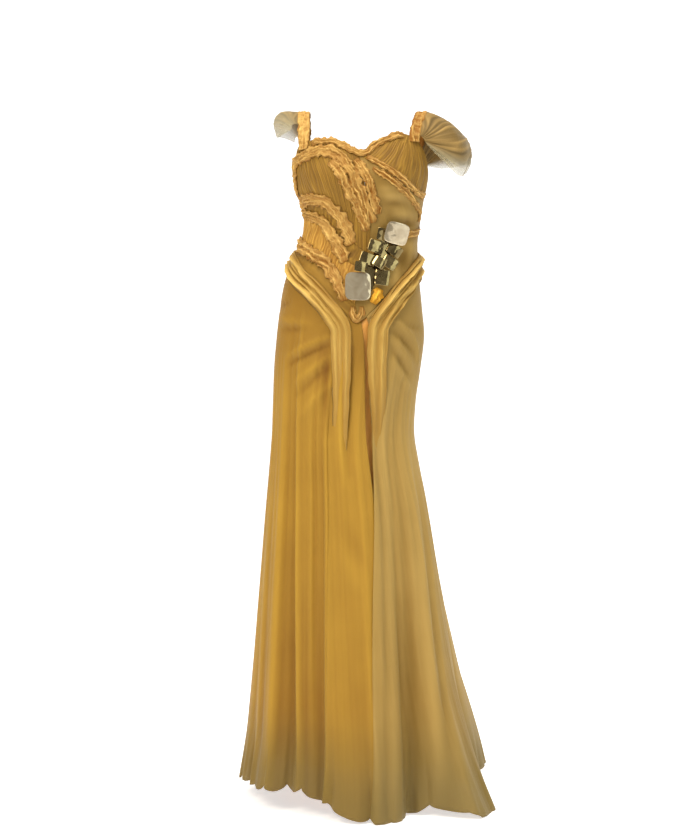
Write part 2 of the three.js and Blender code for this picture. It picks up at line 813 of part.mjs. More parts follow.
// ---------------------------------------------------------------- straps and sleeves
// A strap runs from the front panel over the shoulder to the back panel. Rows give x, y and z, and the two ends
// a place on the panels. thick is the height of its gathers, rolls the number of ridges side by side.
const STRAPS = {
  strap_right: {
    width: 28, thick: 4, waves: 12, rolls: 1,
    front: { x: -129, z: -88 },
    over: [
      { x: -131, y: -48, z: -66 },
      { x: -131, y: -39, z: -42 },
      { x: -131, y: -23, z: -16 },
      { x: -131, y: -2, z: -4 },
      { x: -131, y: 22, z: -13 },
      { x: -130, y: 40, z: -50 },
      { x: -128, y: 51, z: -110 },
    ],
    back: { turn: 239, z: -156 },
  },
  strap_left: {
    width: 26, thick: 5, waves: 10, rolls: 2,
    front: { x: 106, z: -72 },
    over: [
      { x: 108, y: -54, z: -57 },
      { x: 113, y: -43, z: -37 },
      { x: 120, y: -24, z: -15 },
      { x: 126, y: -2, z: -5 },
      { x: 126, y: 22, z: -14 },
      { x: 122, y: 41, z: -52 },
      { x: 118, y: 51, z: -104 },
    ],
    back: { turn: 121, z: -158 },
  },
};

// The strap's middle line with its directions along, across (towards the wearer's left) and out.
function strapLine({ front, over, back }) {
  const end = (row) => raisedAt(turnOf(row), row.z, LIFT + 0.6);
  const middle = over.map((row) => new THREE.Vector3(row.x, row.y, row.z));
  const curve = new THREE.CatmullRomCurve3([end(front), ...middle, end(back)], false, "centripetal");
  return (share) => {
    const at = curve.getPointAt(share);
    const along = curve.getTangentAt(share);
    // Near the panels the strap lies flat on them, and over the shoulder it lies level.
    const turn = Math.sign(at.x) * (at.y < 0 ? 56 : 121);
    const around = surfaceAt(turn + 1, at.z).sub(surfaceAt(turn - 1, at.z)).normalize();
    if (around.x < 0) around.negate();
    const across = around.lerp(new THREE.Vector3(1, 0, 0), smooth(-90, -30, at.z));
    across.addScaledVector(along, -along.dot(across)).normalize();
    const out = new THREE.Vector3().crossVectors(along, across).normalize();
    return { at, along, across, out };
  };
}

function strap(name, { width, thick, waves, rolls }, line) {
  const sections = [];
  for (let i = 0; i <= 2 * waves; i++) {
    const { at, across, out } = line(i / (2 * waves));
    const full = i % 2;
    const half = (width / 2) * mix(0.9, 1, full);
    const ring = [{ s: -half, h: 0 }, { s: half, h: 0 }];
    const top = 2 * rolls + 2;
    for (let k = 1; k < top; k++) {
      const dip = k % 2 || rolls === 1 ? 1 : 0.6;
      ring.push({ s: mix(half, -half, k / top), h: thick * mix(0.55, 1, full) * dip });
    }
    sections.push(ring.map(({ s, h }) => at.clone().addScaledVector(across, s).addScaledVector(out, -h)));
  }
  return meshOf(name, barThrough(sections), RUFFLE);
}

// A draped sleeve. Each row is a line of cloth from the strap (share of its length) over a control point to the
// sleeve's hem. side is the side of the strap it is sewn to.
const SLEEVES = {
  sleeve_left: {
    strap: "strap_left", side: 1, around: 14, down: 14, pleats: 7, rise: 2.5,
    rows: [
      { share: 0.07, over: [128, -56, -64], hem: [134, -54, -76] },
      { share: 0.17, over: [170, -66, -46], hem: [169, -52, -112] },
      { share: 0.27, over: [222, -52, -34], hem: [203, -34, -142] },
      { share: 0.38, over: [252, -4, -38], hem: [216, 0, -138] },
      { share: 0.49, over: [246, 40, -40], hem: [230, 42, -116] },
      { share: 0.64, over: [182, 68, -62], hem: [176, 64, -122] },
      { share: 0.82, over: [137, 60, -104], hem: [143, 62, -118] },
    ],
  },
  cap_right: {
    strap: "strap_right", side: -1, around: 10, down: 8, pleats: 4, rise: 1.5,
    rows: [
      { share: 0.2, over: [-158, -42, -28], hem: [-156, -50, -44] },
      { share: 0.29, over: [-186, -30, -8], hem: [-180, -32, -58] },
      { share: 0.39, over: [-214, 2, 4], hem: [-188, 0, -58] },
      { share: 0.48, over: [-196, 26, -4], hem: [-182, 30, -56] },
      { share: 0.56, over: [-172, 42, -24], hem: [-166, 46, -60] },
      { share: 0.63, over: [-152, 50, -48], hem: [-152, 54, -66] },
    ],
  },
};
const SLEEVE_GAP = 1.5; // from the strap's widest stations to the sleeve

function sleeve(name, { strap: strapName, side, around, down, pleats, rise, rows }, line) {
  const overShoulder = ["over", "hem"].map(
    (key) => new THREE.CatmullRomCurve3(rows.map((row) => new THREE.Vector3(...row[key])), false, "centripetal"),
  );
  const seamAt = (u) => {
    const place = clamp(u, 0, 1) * (rows.length - 1);
    const row = Math.min(Math.floor(place), rows.length - 2);
    const { at, across } = line(mix(rows[row].share, rows[row + 1].share, place - row));
    return at.clone().addScaledVector(across, side * (STRAPS[strapName].width / 2 + SLEEVE_GAP));
  };
  const pointAt = (u, v) => {
    const [over, hem] = overShoulder.map((curve) => curve.getPoint(clamp(u, 0, 1)));
    return new THREE.QuadraticBezierCurve3(seamAt(u), over, hem).getPoint(clamp(v, 0, 1));
  };
  const step = 0.01;
  const outwardAt = (u, v) => {
    const along = pointAt(u + step, v).sub(pointAt(u - step, v));
    const hang = pointAt(u, v + step).sub(pointAt(u, v - step));
    return hang.cross(along).normalize().multiplyScalar(side);
  };
  const outer = [];
  const inner = [];
  for (let r = 0; r <= down; r++) {
    outer.push([]);
    inner.push([]);
    for (let c = 0; c <= around; c++) {
      const [u, v] = [c / around, r / down];
      const pleat = rise * Math.sin(Math.PI * pleats * v) ** 2 * smooth(0, 0.12, u) * smooth(1, 0.88, u);
      outer[r].push(pointAt(u, v).addScaledVector(outwardAt(u, v), CLOTH + pleat));
      inner[r].push(pointAt(u, v));
    }
  }
  return meshOf(name, wallBetween(outer, inner), CHIFFON);
}

const strapLines = Object.fromEntries(Object.entries(STRAPS).map(([name, sizes]) => [name, strapLine(sizes)]));
const straps = Object.entries(STRAPS).map(([name, sizes]) => strap(name, sizes, strapLines[name]));
const sleeves = Object.entries(SLEEVES).map(([name, sizes]) => sleeve(name, sizes, strapLines[sizes.strap]));

// ---------------------------------------------------------------- metal ornament
const ORNAMENT = { low: { x: -10, z: -400 }, high: { x: 66, z: -252 }, bar: 34, thick: 1.5, lift: LIFT - 0.3 };
const PLATE_THICK = 1.2;
const PEG = 2.5; // radius of the peg that carries a plate

// Plates on the bar: place along it and across it, length, width, bend of the plate, turn on its peg, lean, height.
const PLATES = [
  { along: 0.08, across: -13, length: 60, width: 56, bend: 16, spin: 27, lean: 3, height: 8 },
  { along: 0.32, across: 23, length: 34, width: 32, bend: 40, spin: 20, lean: -8, height: 9 },
  { along: 0.3, across: -27, length: 22, width: 30, bend: 60, spin: 20, lean: 6, height: 17 },
  { along: 0.44, across: -23, length: 24, width: 36, bend: 50, spin: 8, lean: 6, height: 10 },
  { along: 0.46, across: 1, length: 22, width: 28, bend: 70, spin: -4, lean: -6, height: 18 },
  { along: 0.54, across: 22, length: 26, width: 34, bend: 50, spin: -6, lean: -10, height: 8 },
  { along: 0.62, across: -21, length: 26, width: 36, bend: 40, spin: 10, lean: 8, height: 15 },
  { along: 0.71, across: 20, length: 24, width: 34, bend: 60, spin: -8, lean: -4, height: 9 },
  { along: 0.82, across: -22, length: 26, width: 26, bend: 60, spin: 16, lean: 10, height: 8 },
  { along: 0.915, across: 2, length: 46, width: 54, bend: 34, spin: 12, lean: -6, height: 18 },
];

const ornamentLine = polyline([ORNAMENT.low, ORNAMENT.high]);

function ornamentBar() {
  const half = ORNAMENT.bar / 2;
  const spread = [-1, -0.5, 0, 0.5, 1];
  const section = () => [
    ...spread.map((k) => ({ s: k * half, h: 0 })),
    ...spread.toReversed().map((k) => ({ s: k * half, h: ORNAMENT.thick })),
  ];
  const geometry = layAlong(ornamentLine, 12, section, () => ORNAMENT.lift);
  return meshOf("ornament_bar", geometry, MIRROR);
}

// A plate bent like a roof tile, carried by one peg that stops just above the bar.
function ornamentPlate(plate, index) {
  const bend = plate.bend * DEG;
  const radius = plate.width / 2 / Math.sin(bend / 2);
  const outline = new THREE.Shape();
  outline.absarc(0, 0, radius, Math.PI / 2 - bend / 2, Math.PI / 2 + bend / 2, false);
  outline.absarc(0, 0, radius - PLATE_THICK, Math.PI / 2 + bend / 2, Math.PI / 2 - bend / 2, true);
  const tile = new THREE.ExtrudeGeometry(outline, {
    depth: plate.length,
    bevelEnabled: false,
    curveSegments: 5,
  });
  tile.translate(0, -radius + PLATE_THICK / 2, -plate.length / 2).rotateX(Math.PI / 2);
  tile.rotateY(plate.lean * DEG).rotateZ(plate.spin * DEG).translate(0, 0, plate.height);
  const reach = clamp(plate.across, -ORNAMENT.bar / 2 + PEG + 1, ORNAMENT.bar / 2 - PEG - 1) - plate.across;
  const peg = new THREE.CylinderGeometry(PEG, PEG, plate.height - 0.4, 8);
  peg.rotateX(Math.PI / 2).translate(reach, 0, (plate.height - 0.4) / 2 + 0.4);
  const geometry = joined([tile, peg]);

  const at = ornamentLine(plate.along);
  const ahead = ornamentLine(plate.along + 0.02);
  const out = normalAt(at.turn, at.z);
  const axis = surfaceAt(ahead.turn, ahead.z).sub(surfaceAt(at.turn, at.z));
  const up = axis.addScaledVector(out, -axis.dot(out)).normalize();
  const across = new THREE.Vector3().crossVectors(up, out);
  const place = raisedAt(at.turn, at.z, ORNAMENT.lift + ORNAMENT.thick).addScaledVector(across, plate.across);
  geometry.applyMatrix4(new THREE.Matrix4().makeBasis(across, up, out).setPosition(place));
  return meshOf(`ornament_plate_${String(index + 1).padStart(2, "0")}`, geometry, MIRROR);
}

// ---------------------------------------------------------------- the gown
const gown = new THREE.Group();
gown.add(
  ...bodice,
  ...skirt,
  underskirt(),
  ...RUFFLES.map(({ name, rows, ...size }) => ruffle(name, route(rows), size)),
  ...drapes,
  ...straps,
  ...sleeves,
  ornamentBar(),
  ...PLATES.map(ornamentPlate),
);

export default gown;
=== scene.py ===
import bpy
import numpy as np
from mathutils import Matrix, Vector


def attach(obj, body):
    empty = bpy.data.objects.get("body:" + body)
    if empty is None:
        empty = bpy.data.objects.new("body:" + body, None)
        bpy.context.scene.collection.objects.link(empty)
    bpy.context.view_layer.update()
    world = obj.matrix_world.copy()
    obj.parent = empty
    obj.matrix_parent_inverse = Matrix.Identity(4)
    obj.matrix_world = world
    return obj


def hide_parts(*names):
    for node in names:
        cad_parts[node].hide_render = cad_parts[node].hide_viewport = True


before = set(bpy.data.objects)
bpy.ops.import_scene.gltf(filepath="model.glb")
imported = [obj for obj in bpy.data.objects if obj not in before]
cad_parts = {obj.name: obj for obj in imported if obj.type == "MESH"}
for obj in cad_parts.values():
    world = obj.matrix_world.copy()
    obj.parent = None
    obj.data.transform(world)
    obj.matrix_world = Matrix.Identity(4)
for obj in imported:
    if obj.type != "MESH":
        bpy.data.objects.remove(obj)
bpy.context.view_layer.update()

MM = 0.001
DEG = np.pi / 180


def table(columns, *rows):
    """A table with named columns, each an array."""
    return dict(zip(columns.split(), np.array(rows, float).T))


def rows_of(tabled):
    """The rows of a table as small dictionaries."""
    names = list(tabled)
    return [dict(zip(names, row)) for row in zip(*tabled.values())]


# ---------------------------------------------------------------- sizes
CLOTH = 1.5  # wall of the solids' panels
THIN = 0.8  # thickness of the shown cloth
SEAM = 0.05  # half of the gap between two pieces that are sewn edge to edge
LIFT = CLOTH + 1.4  # height over the figure at which trim lies on the pleated panels
CLOSE_LIFT = CLOTH + 0.8
FLOOR = -1512
FOLD_TOP = -500
UNDERSKIRT_HEM = -1410
SIDE = 90
BACK = 180
ARC = 2.4  # millimetres that one degree of turn measures, roughly, where routes are spaced out

FIGURE = table(
    "z right left front back",
    (0, -150, 136, 56, 70),
    (-60, -150, 133, 78, 84),
    (-140, -148, 137, 97, 96),
    (-195, -138, 128, 96, 92),
    (-245, -129, 120, 88, 84),
    (-290, -138, 115, 85, 84),
    (-330, -157, 117, 90, 98),
    (-380, -174, 121, 99, 117),
    (-440, -184, 127, 106, 132),
    (-490, -190, 131, 108, 136),
    (-560, -196, 123, 108, 132),
    (-640, -199, 112, 110, 128),
    (-720, -202, 111, 114, 134),
    (-870, -212, 143, 134, 165),
    (-1060, -226, 179, 160, 218),
    (-1240, -239, 215, 190, 282),
    (-1400, -252, 251, 215, 345),
    (-1512, -265, 266, 232, 392),
)

BUST = table(
    "x z height wide above below",
    (-80, -146, 25, 42, 52, 36),
    (74, -150, 25, 42, 54, 36),
)

WAIST = table(
    "turn z",
    (-180, -340), (-130, -334), (-90, -334), (-62, -350), (-40, -374), (-18, -414), (-3, -446), (6, -456),
    (16, -436), (30, -400), (47, -360), (67, -334), (90, -327), (130, -333), (180, -340),
)

HEM = table(
    "turn z",
    (-180, -1512), (-150, -1510), (-120, -1494), (-90, -1470), (-54, -1463), (-36, -1458), (-22, -1470),
    (-8, -1496), (10, -1512), (26, -1503), (38, -1491), (50, -1508), (62, -1512), (84, -1472), (104, -1494),
    (130, -1512), (180, -1512),
)

# The skirt's main folds: direction at FOLD_TOP and at the floor, height of the start, depth at the floor,
# half width in degrees, and how late each deepens.
FOLDS = table(
    "top hem start depth width late",
    (-71, -68, -1150, -9, 5, 1.2),
    (-60, -55, -560, 12, 13, 1.1),
    (-47, -39, -560, -20, 7, 0.8),
    (-36, -31, -620, 9, 6, 0.8),
    (-26, -24, -640, -15, 6, 0.8),
    (-15, -15, -560, 7, 4, 0.8),
    (6, -6, -620, 8, 8, 1),
    (22, 9, -560, 16, 9, 0.8),
    (38, 26, -600, -34, 11, 0.8),
    (50, 42, -700, 10, 9, 1),
    (58, 53, -760, -9, 5, 0.9),
    (58, 54, -1120, 70, 13, 2.6),
    (76, 84, -1000, -30, 12, 1.6),
    (100, 103, -760, -48, 17, 1.1),
    (118, 130, -700, 98, 17, 1.4),
    (140, 149, -640, -34, 9, 0.9),
    (160, 164, -640, 26, 9, 0.9),
    (180, 180, -640, -36, 9, 0.9),
    (-160, -163, -640, 28, 9, 0.9),
    (-142, -146, -640, -32, 9, 0.9),
    (-126, -129, -660, 22, 9, 0.9),
    (-110, -111, -680, -24, 8, 0.9),
    (-94, -92, -700, 12, 9, 1),
)

# Narrow folds of the light cloth on top of the main ones, in the same columns.
FINE_FOLDS = table(
    "top hem start depth width late",
    (-84, -80, -900, 4.5, 3.0, 0.8),
    (-78, -65, -560, 5.0, 3.0, 0.6),
    (-69, -60, -700, -4.0, 2.6, 0.7),
    (-57, -52, -520, 5.5, 2.4, 0.4),
    (-50, -47, -440, -4.5, 2.2, 0.4),
    (-43, -41, -560, -6.0, 2.4, 0.45),
    (-41, -33, -430, 6.5, 1.6, 0.3),
    (-37, -31, -560, -4.0, 1.6, 0.4),
    (-33, -29, -600, -5.0, 1.8, 0.4),
    (-27, -26, -520, 4.0, 1.6, 0.5),
    (-23, -27, -480, -5.5, 1.6, 0.35),
    (-16, -23, -520, -6.0, 2.6, 0.45),
    (-13, -19, -460, 6.0, 1.8, 0.3),
    (-8, -10, -900, 2.0, 3.0, 0.9),
    (2, 1, -980, -2.4, 2.6, 0.9),
    (13, 4, -560, 4.5, 2.0, 0.4),
    (33, 8, -560, -3.0, 1.8, 0.4),
    (40, 12, -480, 5.5, 3.0, 0.4),
    (46, 19, -640, -3.5, 2.0, 0.5),
    (53, 25, -560, -6.5, 2.8, 0.4),
    (70, 34, -600, 5.5, 3.0, 0.5),
    (81, 39, -700, -5.0, 2.8, 0.6),
    (78, 46, -640, 4.0, 3.0, 0.6),
    (92, 56, -900, -5.0, 4.0, 1.0),
    (96, 72, -800, 4.0, 3.0, 0.7),
    (100, 86, -760, -4.0, 3.0, 0.7),
    (108, 112, -640, 4.5, 3.0, 0.6),
    (124, 122, -620, -5.0, 3.2, 0.6),
    (133, 140, -560, 4.5, 3.0, 0.5),
    (151, 156, -520, -4.5, 2.8, 0.5),
    (170, 172, -480, 5.0, 2.6, 0.5),
    (-170, -172, -480, 4.6, 2.6, 0.5),
    (-151, -155, -520, -4.8, 2.8, 0.5),
    (-134, -138, -600, 5.0, 3.0, 0.5),
    (-118, -120, -640, -4.4, 2.8, 0.6),
    (-102, -101, -760, 4.2, 2.8, 0.6),
)

# Soft creases where the cloth drags from the hips to the front: two ends (turn, z), half width, height.
DRAG = table(
    "turn_a z_a turn_b z_b width height",
    (-16, -486, -53, -528, 6, 3.0),
    (-15, -504, -54, -552, 6, -3.0),
    (-13, -526, -43, -587, 7, 2.6),
    (-12, -548, -41, -616, 7, -2.6),
    (-10, -579, -35, -653, 8, 2.2),
    (-90, -429, -59, -416, 5, -2.4),
    (-79, -451, -33, -460, 6, 2.2),
    (-69, -477, -39, -473, 6, -1.8),
    (-19, -510, -12, -697, 9, -3.4),
    (37, -453, 60, -499, 6, 2.8),
    (60, -499, 73, -552, 6, 2.2),
    (34, -477, 60, -526, 6, -3.0),
    (33, -493, 61, -557, 6, 2.6),
    (34, -517, 59, -579, 6, -2.6),
    (36, -543, 63, -605, 7, 2.2),
    (49, -466, 76, -477, 6, -2.0),
    (-5, -495, -1, -807, 6, 3.0),
    (2, -510, 4, -785, 6, -2.8),
    (-1, -895, 9, -983, 11, -1.6),
    (-5, -939, 4, -1027, 11, 1.2),
    (100, -400, 140, -450, 12, 1.8),
    (-100, -400, -140, -455, 12, 1.8),
    (150, -430, 175, -520, 10, 1.6),
    (-150, -430, -175, -520, 10, -1.6),
)

# ---------------------------------------------------------------- curves, noise and the figure
def mix(a, b, share):
    return a + (b - a) * share


def smooth(low, high, value):
    t = np.clip((np.asarray(value, float) - low) / (high - low), 0, 1)
    return t * t * (3 - 2 * t)


def hermite(t, start, end, slope_at_start, slope_at_end):
    """A cubic curve from one value to another with the slopes at its ends."""
    return (
        (2 * t**3 - 3 * t**2 + 1) * start + (t**3 - 2 * t**2 + t) * slope_at_start
        + (3 * t**2 - 2 * t**3) * end + (t**3 - t**2) * slope_at_end
    )


def along(tabled, key, column, at):
    """A smooth curve through one column of a table, read at many places of its key column."""
    x, y = tabled[key], tabled[column]
    if x[0] > x[-1]:
        x, y = x[::-1], y[::-1]
    rows = np.arange(len(x))
    before, after = np.maximum(rows - 1, 0), np.minimum(rows + 1, len(x) - 1)
    slope = (y[after] - y[before]) / (x[after] - x[before])
    at = np.clip(at, x[0], x[-1])
    row = np.clip(np.searchsorted(x, at, side="right") - 1, 0, len(x) - 2)
    span = x[row + 1] - x[row]
    return hermite((at - x[row]) / span, y[row], y[row + 1], span * slope[row], span * slope[row + 1])


NOISE_CELLS = 64


def noise(x, y=0.0, seed=0):
    """Smooth noise from -1 to 1 over a plane, the same in each run. x and y are in cells of the noise."""
    cells = np.random.default_rng(seed).uniform(-1, 1, (NOISE_CELLS, NOISE_CELLS))
    x, y = np.broadcast_arrays(np.asarray(x, float), np.asarray(y, float))
    cx, cy = np.floor(x).astype(int), np.floor(y).astype(int)
    fx, fy = x - cx, y - cy
    fx, fy = fx * fx * (3 - 2 * fx), fy * fy * (3 - 2 * fy)
    pick = lambda i, j: cells[(cx + i) % NOISE_CELLS, (cy + j) % NOISE_CELLS]
    return mix(mix(pick(0, 0), pick(1, 0), fx), mix(pick(0, 1), pick(1, 1), fx), fy)


def wrap(turn):
    return (turn + 180) % 360 - 180


def waist_at(turn):
    return along(WAIST, "turn", "z", wrap(turn))


def hem_at(turn):
    return along(HEM, "turn", "z", wrap(turn))


def folds_at(turn, z, folds=FOLDS):
    """How far a table of folds stands out from the figure."""
    out = np.zeros(np.broadcast(turn, z).shape)
    down = np.clip((FOLD_TOP - z) / (FOLD_TOP - FLOOR), 0, 1)
    for fold in rows_of(folds):
        share = np.clip((fold["start"] - z) / (fold["start"] - FLOOR), 0, 1)
        away = wrap(turn - mix(fold["top"], fold["hem"], down)) / fold["width"]
        bell = np.where(abs(away) < 2, np.cos(away * np.pi / 4) ** 2, 0)
        out += fold["depth"] * share ** fold["late"] * bell
    return out


def surface(turn, z, folded=True):
    """Points of the figure's surface. turn is 0 at the centre front and grows towards the left side."""
    turn, z = np.broadcast_arrays(np.asarray(turn, float), np.asarray(z, float))
    right, left = along(FIGURE, "z", "right", z), along(FIGURE, "z", "left", z)
    middle, half = (left + right) / 2, (left - right) / 2
    across, ahead = np.sin(turn * DEG), np.cos(turn * DEG)
    depth = np.where(ahead > 0, along(FIGURE, "z", "front", z), along(FIGURE, "z", "back", z))
    x, y = middle + half * across, -depth * ahead
    for mound in rows_of(BUST):
        up = z - mound["z"]
        spread = ((x - mound["x"]) / mound["wide"]) ** 2
        spread = spread + (up / np.where(up > 0, mound["above"], mound["below"])) ** 2
        y = y - mound["height"] * np.exp(-spread / 2) * np.sqrt(np.clip(ahead, 0, 1))
    if folded:
        stand = np.where(z < FOLD_TOP, folds_at(turn, z), 0)
        out = np.stack([across / half, -ahead / depth])
        out = out / np.linalg.norm(out, axis=0)
        x, y = x + stand * out[0], y + stand * out[1]
    return np.stack([x, y, z], -1)


def unit(vectors):
    return vectors / np.maximum(np.linalg.norm(vectors, axis=-1, keepdims=True), 1e-9)


def raised(turn, z, height, folded=True):
    """Points at a height over the figure's surface."""
    turn, z = np.asarray(turn, float), np.asarray(z, float)
    around = surface(turn + 0.4, z, folded) - surface(turn - 0.4, z, folded)
    up = surface(turn, z + 1, folded) - surface(turn, z - 1, folded)
    return surface(turn, z, folded) + unit(np.cross(around, up)) * np.asarray(height, float)[..., None]


def on_x(x, z):
    """The place (turn, z) on the front from its x seen from straight ahead."""
    right, left = along(FIGURE, "z", "right", z), along(FIGURE, "z", "left", z)
    return (np.degrees(np.arcsin(np.clip((2 * x - left - right) / (left - right), -1, 1))), z)


def front(*places):
    """Places (turn, z) on the front from their x and z."""
    return [on_x(x, z) for x, z in places]


def flowing(points, steps=24):
    """A centripetal Catmull-Rom curve through points, as a dense polyline."""
    points = np.array(points, float)
    points = np.vstack([2 * points[0] - points[1], points, 2 * points[-1] - points[-2]])
    knots = np.maximum(np.linalg.norm(np.diff(points, axis=0), axis=1) ** 0.5, 1e-4)
    t = np.linspace(0, 1, steps, endpoint=False)[:, None]
    spans = []
    for i in range(1, len(points) - 2):
        p0, p1, p2, p3 = points[i - 1 : i + 3]
        d0, d1, d2 = knots[i - 1 : i + 2]
        m1 = ((p1 - p0) / d0 - (p2 - p0) / (d0 + d1) + (p2 - p1) / d1) * d1
        m2 = ((p2 - p1) / d1 - (p3 - p1) / (d1 + d2) + (p3 - p2) / d2) * d1
        spans.append(hermite(t, p1, p2, m1, m2))
    return np.vstack([*spans, points[-2:-1]])


def by_length(line):
    """Reads a polyline by the share of its length."""
    steps = np.linalg.norm(np.diff(line, axis=0), axis=1)
    share = np.concatenate([[0], np.cumsum(steps)]) / steps.sum()
    return lambda at: np.stack([np.interp(at, share, line[:, k]) for k in range(line.shape[1])], -1)


def route(*places, bent=False):
    """A route over the figure through places (turn, z), read by the share of its length. It flows smoothly,
    or it is bent and runs straight from place to place."""
    points = np.array([(turn * ARC, z) for turn, z in places], float)
    read = by_length(points if bent else flowing(points))
    return lambda at: np.moveaxis(read(np.clip(at, 0, 1)) / [ARC, 1], -1, 0)


def waist_route(start, end):
    def read(at):
        turn = mix(start, end, np.asarray(at, float))
        return np.stack([turn, waist_at(turn)])
    return read


# ---------------------------------------------------------------- materials
def grouped(name, output, **inputs):
    """A new shader node group with named numbers: the group, its inputs and the socket that it puts out."""
    group = bpy.data.node_groups.new(name, "ShaderNodeTree")
    for label, value in inputs.items():
        socket = group.interface.new_socket(label, in_out="INPUT", socket_type="NodeSocketFloat")
        socket.default_value = value
    group.interface.new_socket(output, in_out="OUTPUT", socket_type="NodeSocketFloat")
    start, end = group.nodes.new("NodeGroupInput"), group.nodes.new("NodeGroupOutput")
    return group, start.outputs, end.inputs[output]


def feed(tree, socket, value):
    """Links another node's output to a socket, or sets the socket to a plain value."""
    if isinstance(value, bpy.types.NodeSocket):
        tree.links.new(value, socket)
    else:
        socket.default_value = value


def node(tree, kind, settings=None, **links):
    """Adds a node. settings are its properties. links are its inputs, by name with _ for a space or by number
    as in0 and in1, each with a value or another node's output."""
    made = tree.nodes.new(kind)
    for key, value in (settings or {}).items():
        setattr(made, key, value)
    for label, value in links.items():
        number = label[2:]
        key = int(number) if label.startswith("in") and number.isdigit() else label.replace("_", " ")
        feed(tree, made.inputs[key], value)
    return made


def maths(tree, operation, a, b=0.0):
    return node(tree, "ShaderNodeMath", {"operation": operation}, in0=a, in1=b).outputs[0]


def attribute(tree, name, output="Fac"):
    """A value that the mesh carries at its points."""
    return node(tree, "ShaderNodeAttribute", {"attribute_name": name}).outputs[output]


def noise_node(tree, place, scale, detail, distortion=0.0):
    made = node(tree, "ShaderNodeTexNoise", Vector=place, Scale=scale, Detail=detail, Distortion=distortion)
    return made.outputs["Fac"]


def weave_group():
    """Threads of the cloth, crossing, in the cloth's own coordinates, as a height."""
    group, values, height = grouped("woven threads", "Height", Pitch=0.0006)
    cloth = attribute(group, "cloth", "Vector")
    parts = node(group, "ShaderNodeSeparateXYZ", Vector=cloth)
    turns = maths(group, "DIVIDE", 2 * np.pi, values["Pitch"])
    warp = maths(group, "SINE", maths(group, "MULTIPLY", parts.outputs["X"], turns))
    weft = maths(group, "SINE", maths(group, "MULTIPLY", parts.outputs["Y"], turns))
    crossing = maths(group, "MULTIPLY", warp, weft)
    slubs = noise_node(group, cloth, 900.0, 2.0)
    group.links.new(maths(group, "ADD", crossing, slubs), height)
    return group


def crinkle_group():
    """Crumpling of light silk, longer along the pleats than across them, as a height."""
    group, values, height = grouped("crinkled silk", "Height", Across=160.0, Along=40.0, Fine=0.35)
    cloth = attribute(group, "cloth", "Vector")
    scale = node(group, "ShaderNodeCombineXYZ", X=values["Across"], Y=values["Along"]).outputs["Vector"]
    stretched = node(group, "ShaderNodeVectorMath", {"operation": "MULTIPLY"}, in0=cloth, in1=scale)
    broad = noise_node(group, stretched.outputs["Vector"], 1.0, 3.0, 0.6)
    fine = maths(group, "MULTIPLY", noise_node(group, cloth, 420.0, 4.0), values["Fine"])
    group.links.new(maths(group, "ADD", broad, fine), height)
    return group


def dye_and_painted_shade_group():
    """How light the cloth is: uneven dye at random, plus painted shade in the hollows of its folds and
    painted highlight on their crests, read from the mesh.
    """
    group, values, light = grouped("dye depth", "Light", Uneven=0.3)
    place = node(group, "ShaderNodeTexCoord").outputs["Object"]
    broad = noise_node(group, place, 6.0, 3.0)
    swing = maths(group, "MULTIPLY", maths(group, "SUBTRACT", broad, 0.5), values["Uneven"])
    # The mesh's value carries painted shade in fold hollows and painted highlight on crests.
    total = maths(group, "ADD", attribute(group, "crest"), swing)
    group.links.new(node(group, "ShaderNodeClamp", Value=total).outputs[0], light)
    return group


def patches_group(name, output, detail, distortion=0.0):
    """Soft patches all over a metal: its film of wear, or faint dents as a height."""
    group, values, patches = grouped(name, output, Cells=40.0)
    place = node(group, "ShaderNodeTexCoord").outputs["Object"]
    group.links.new(noise_node(group, place, values["Cells"], detail, distortion), patches)
    return group


WEAVE, CRINKLE, DYE_AND_PAINTED_SHADE = weave_group(), crinkle_group(), dye_and_painted_shade_group()
FILM, DENTS = patches_group("film of wear", "Film", 2.0, 1.2), patches_group("faint dents", "Height", 1.0)


def placed(tree, group, **values):
    """A node group in a material, with its own values."""
    return node(tree, "ShaderNodeGroup", {"node_tree": group}, **values)


def colour(hex_code):
    """A linear colour from the usual six digits."""
    parts = np.array([int(hex_code[i : i + 2], 16) for i in (0, 2, 4)]) / 255
    linear = np.where(parts <= 0.04045, parts / 12.92, ((parts + 0.055) / 1.055) ** 2.4)
    return (*map(float, linear), 1.0)


def blended(tree, share, first, second):
    """A colour between two. Each is six digits or another node's output."""
    first, second = (colour(each) if isinstance(each, str) else each for each in (first, second))
    return node(tree, "ShaderNodeMix", {"data_type": "RGBA"}, in0=share, in6=first, in7=second).outputs[2]


def new_material(name, **settings):
    """A material, its node tree and its shader with plain settings."""
    material = bpy.data.materials.new(name)
    material.use_nodes = True
    shader = material.node_tree.nodes["Principled BSDF"]
    for label, value in settings.items():
        shader.inputs[label.replace("_", " ")].default_value = value
    return material, material.node_tree, shader


def bumped(tree, height, strength, depth, **under):
    """A normal that follows a height. depth is in millimetres."""
    bump = node(tree, "ShaderNodeBump", Height=height, Strength=strength, Distance=depth * MM, **under)
    return bump.outputs["Normal"]


WEAVE_PITCH, WEAVE_DEPTH = 0.7, 0.08
THINNED = 0.7  # how far a single free layer takes its own colour


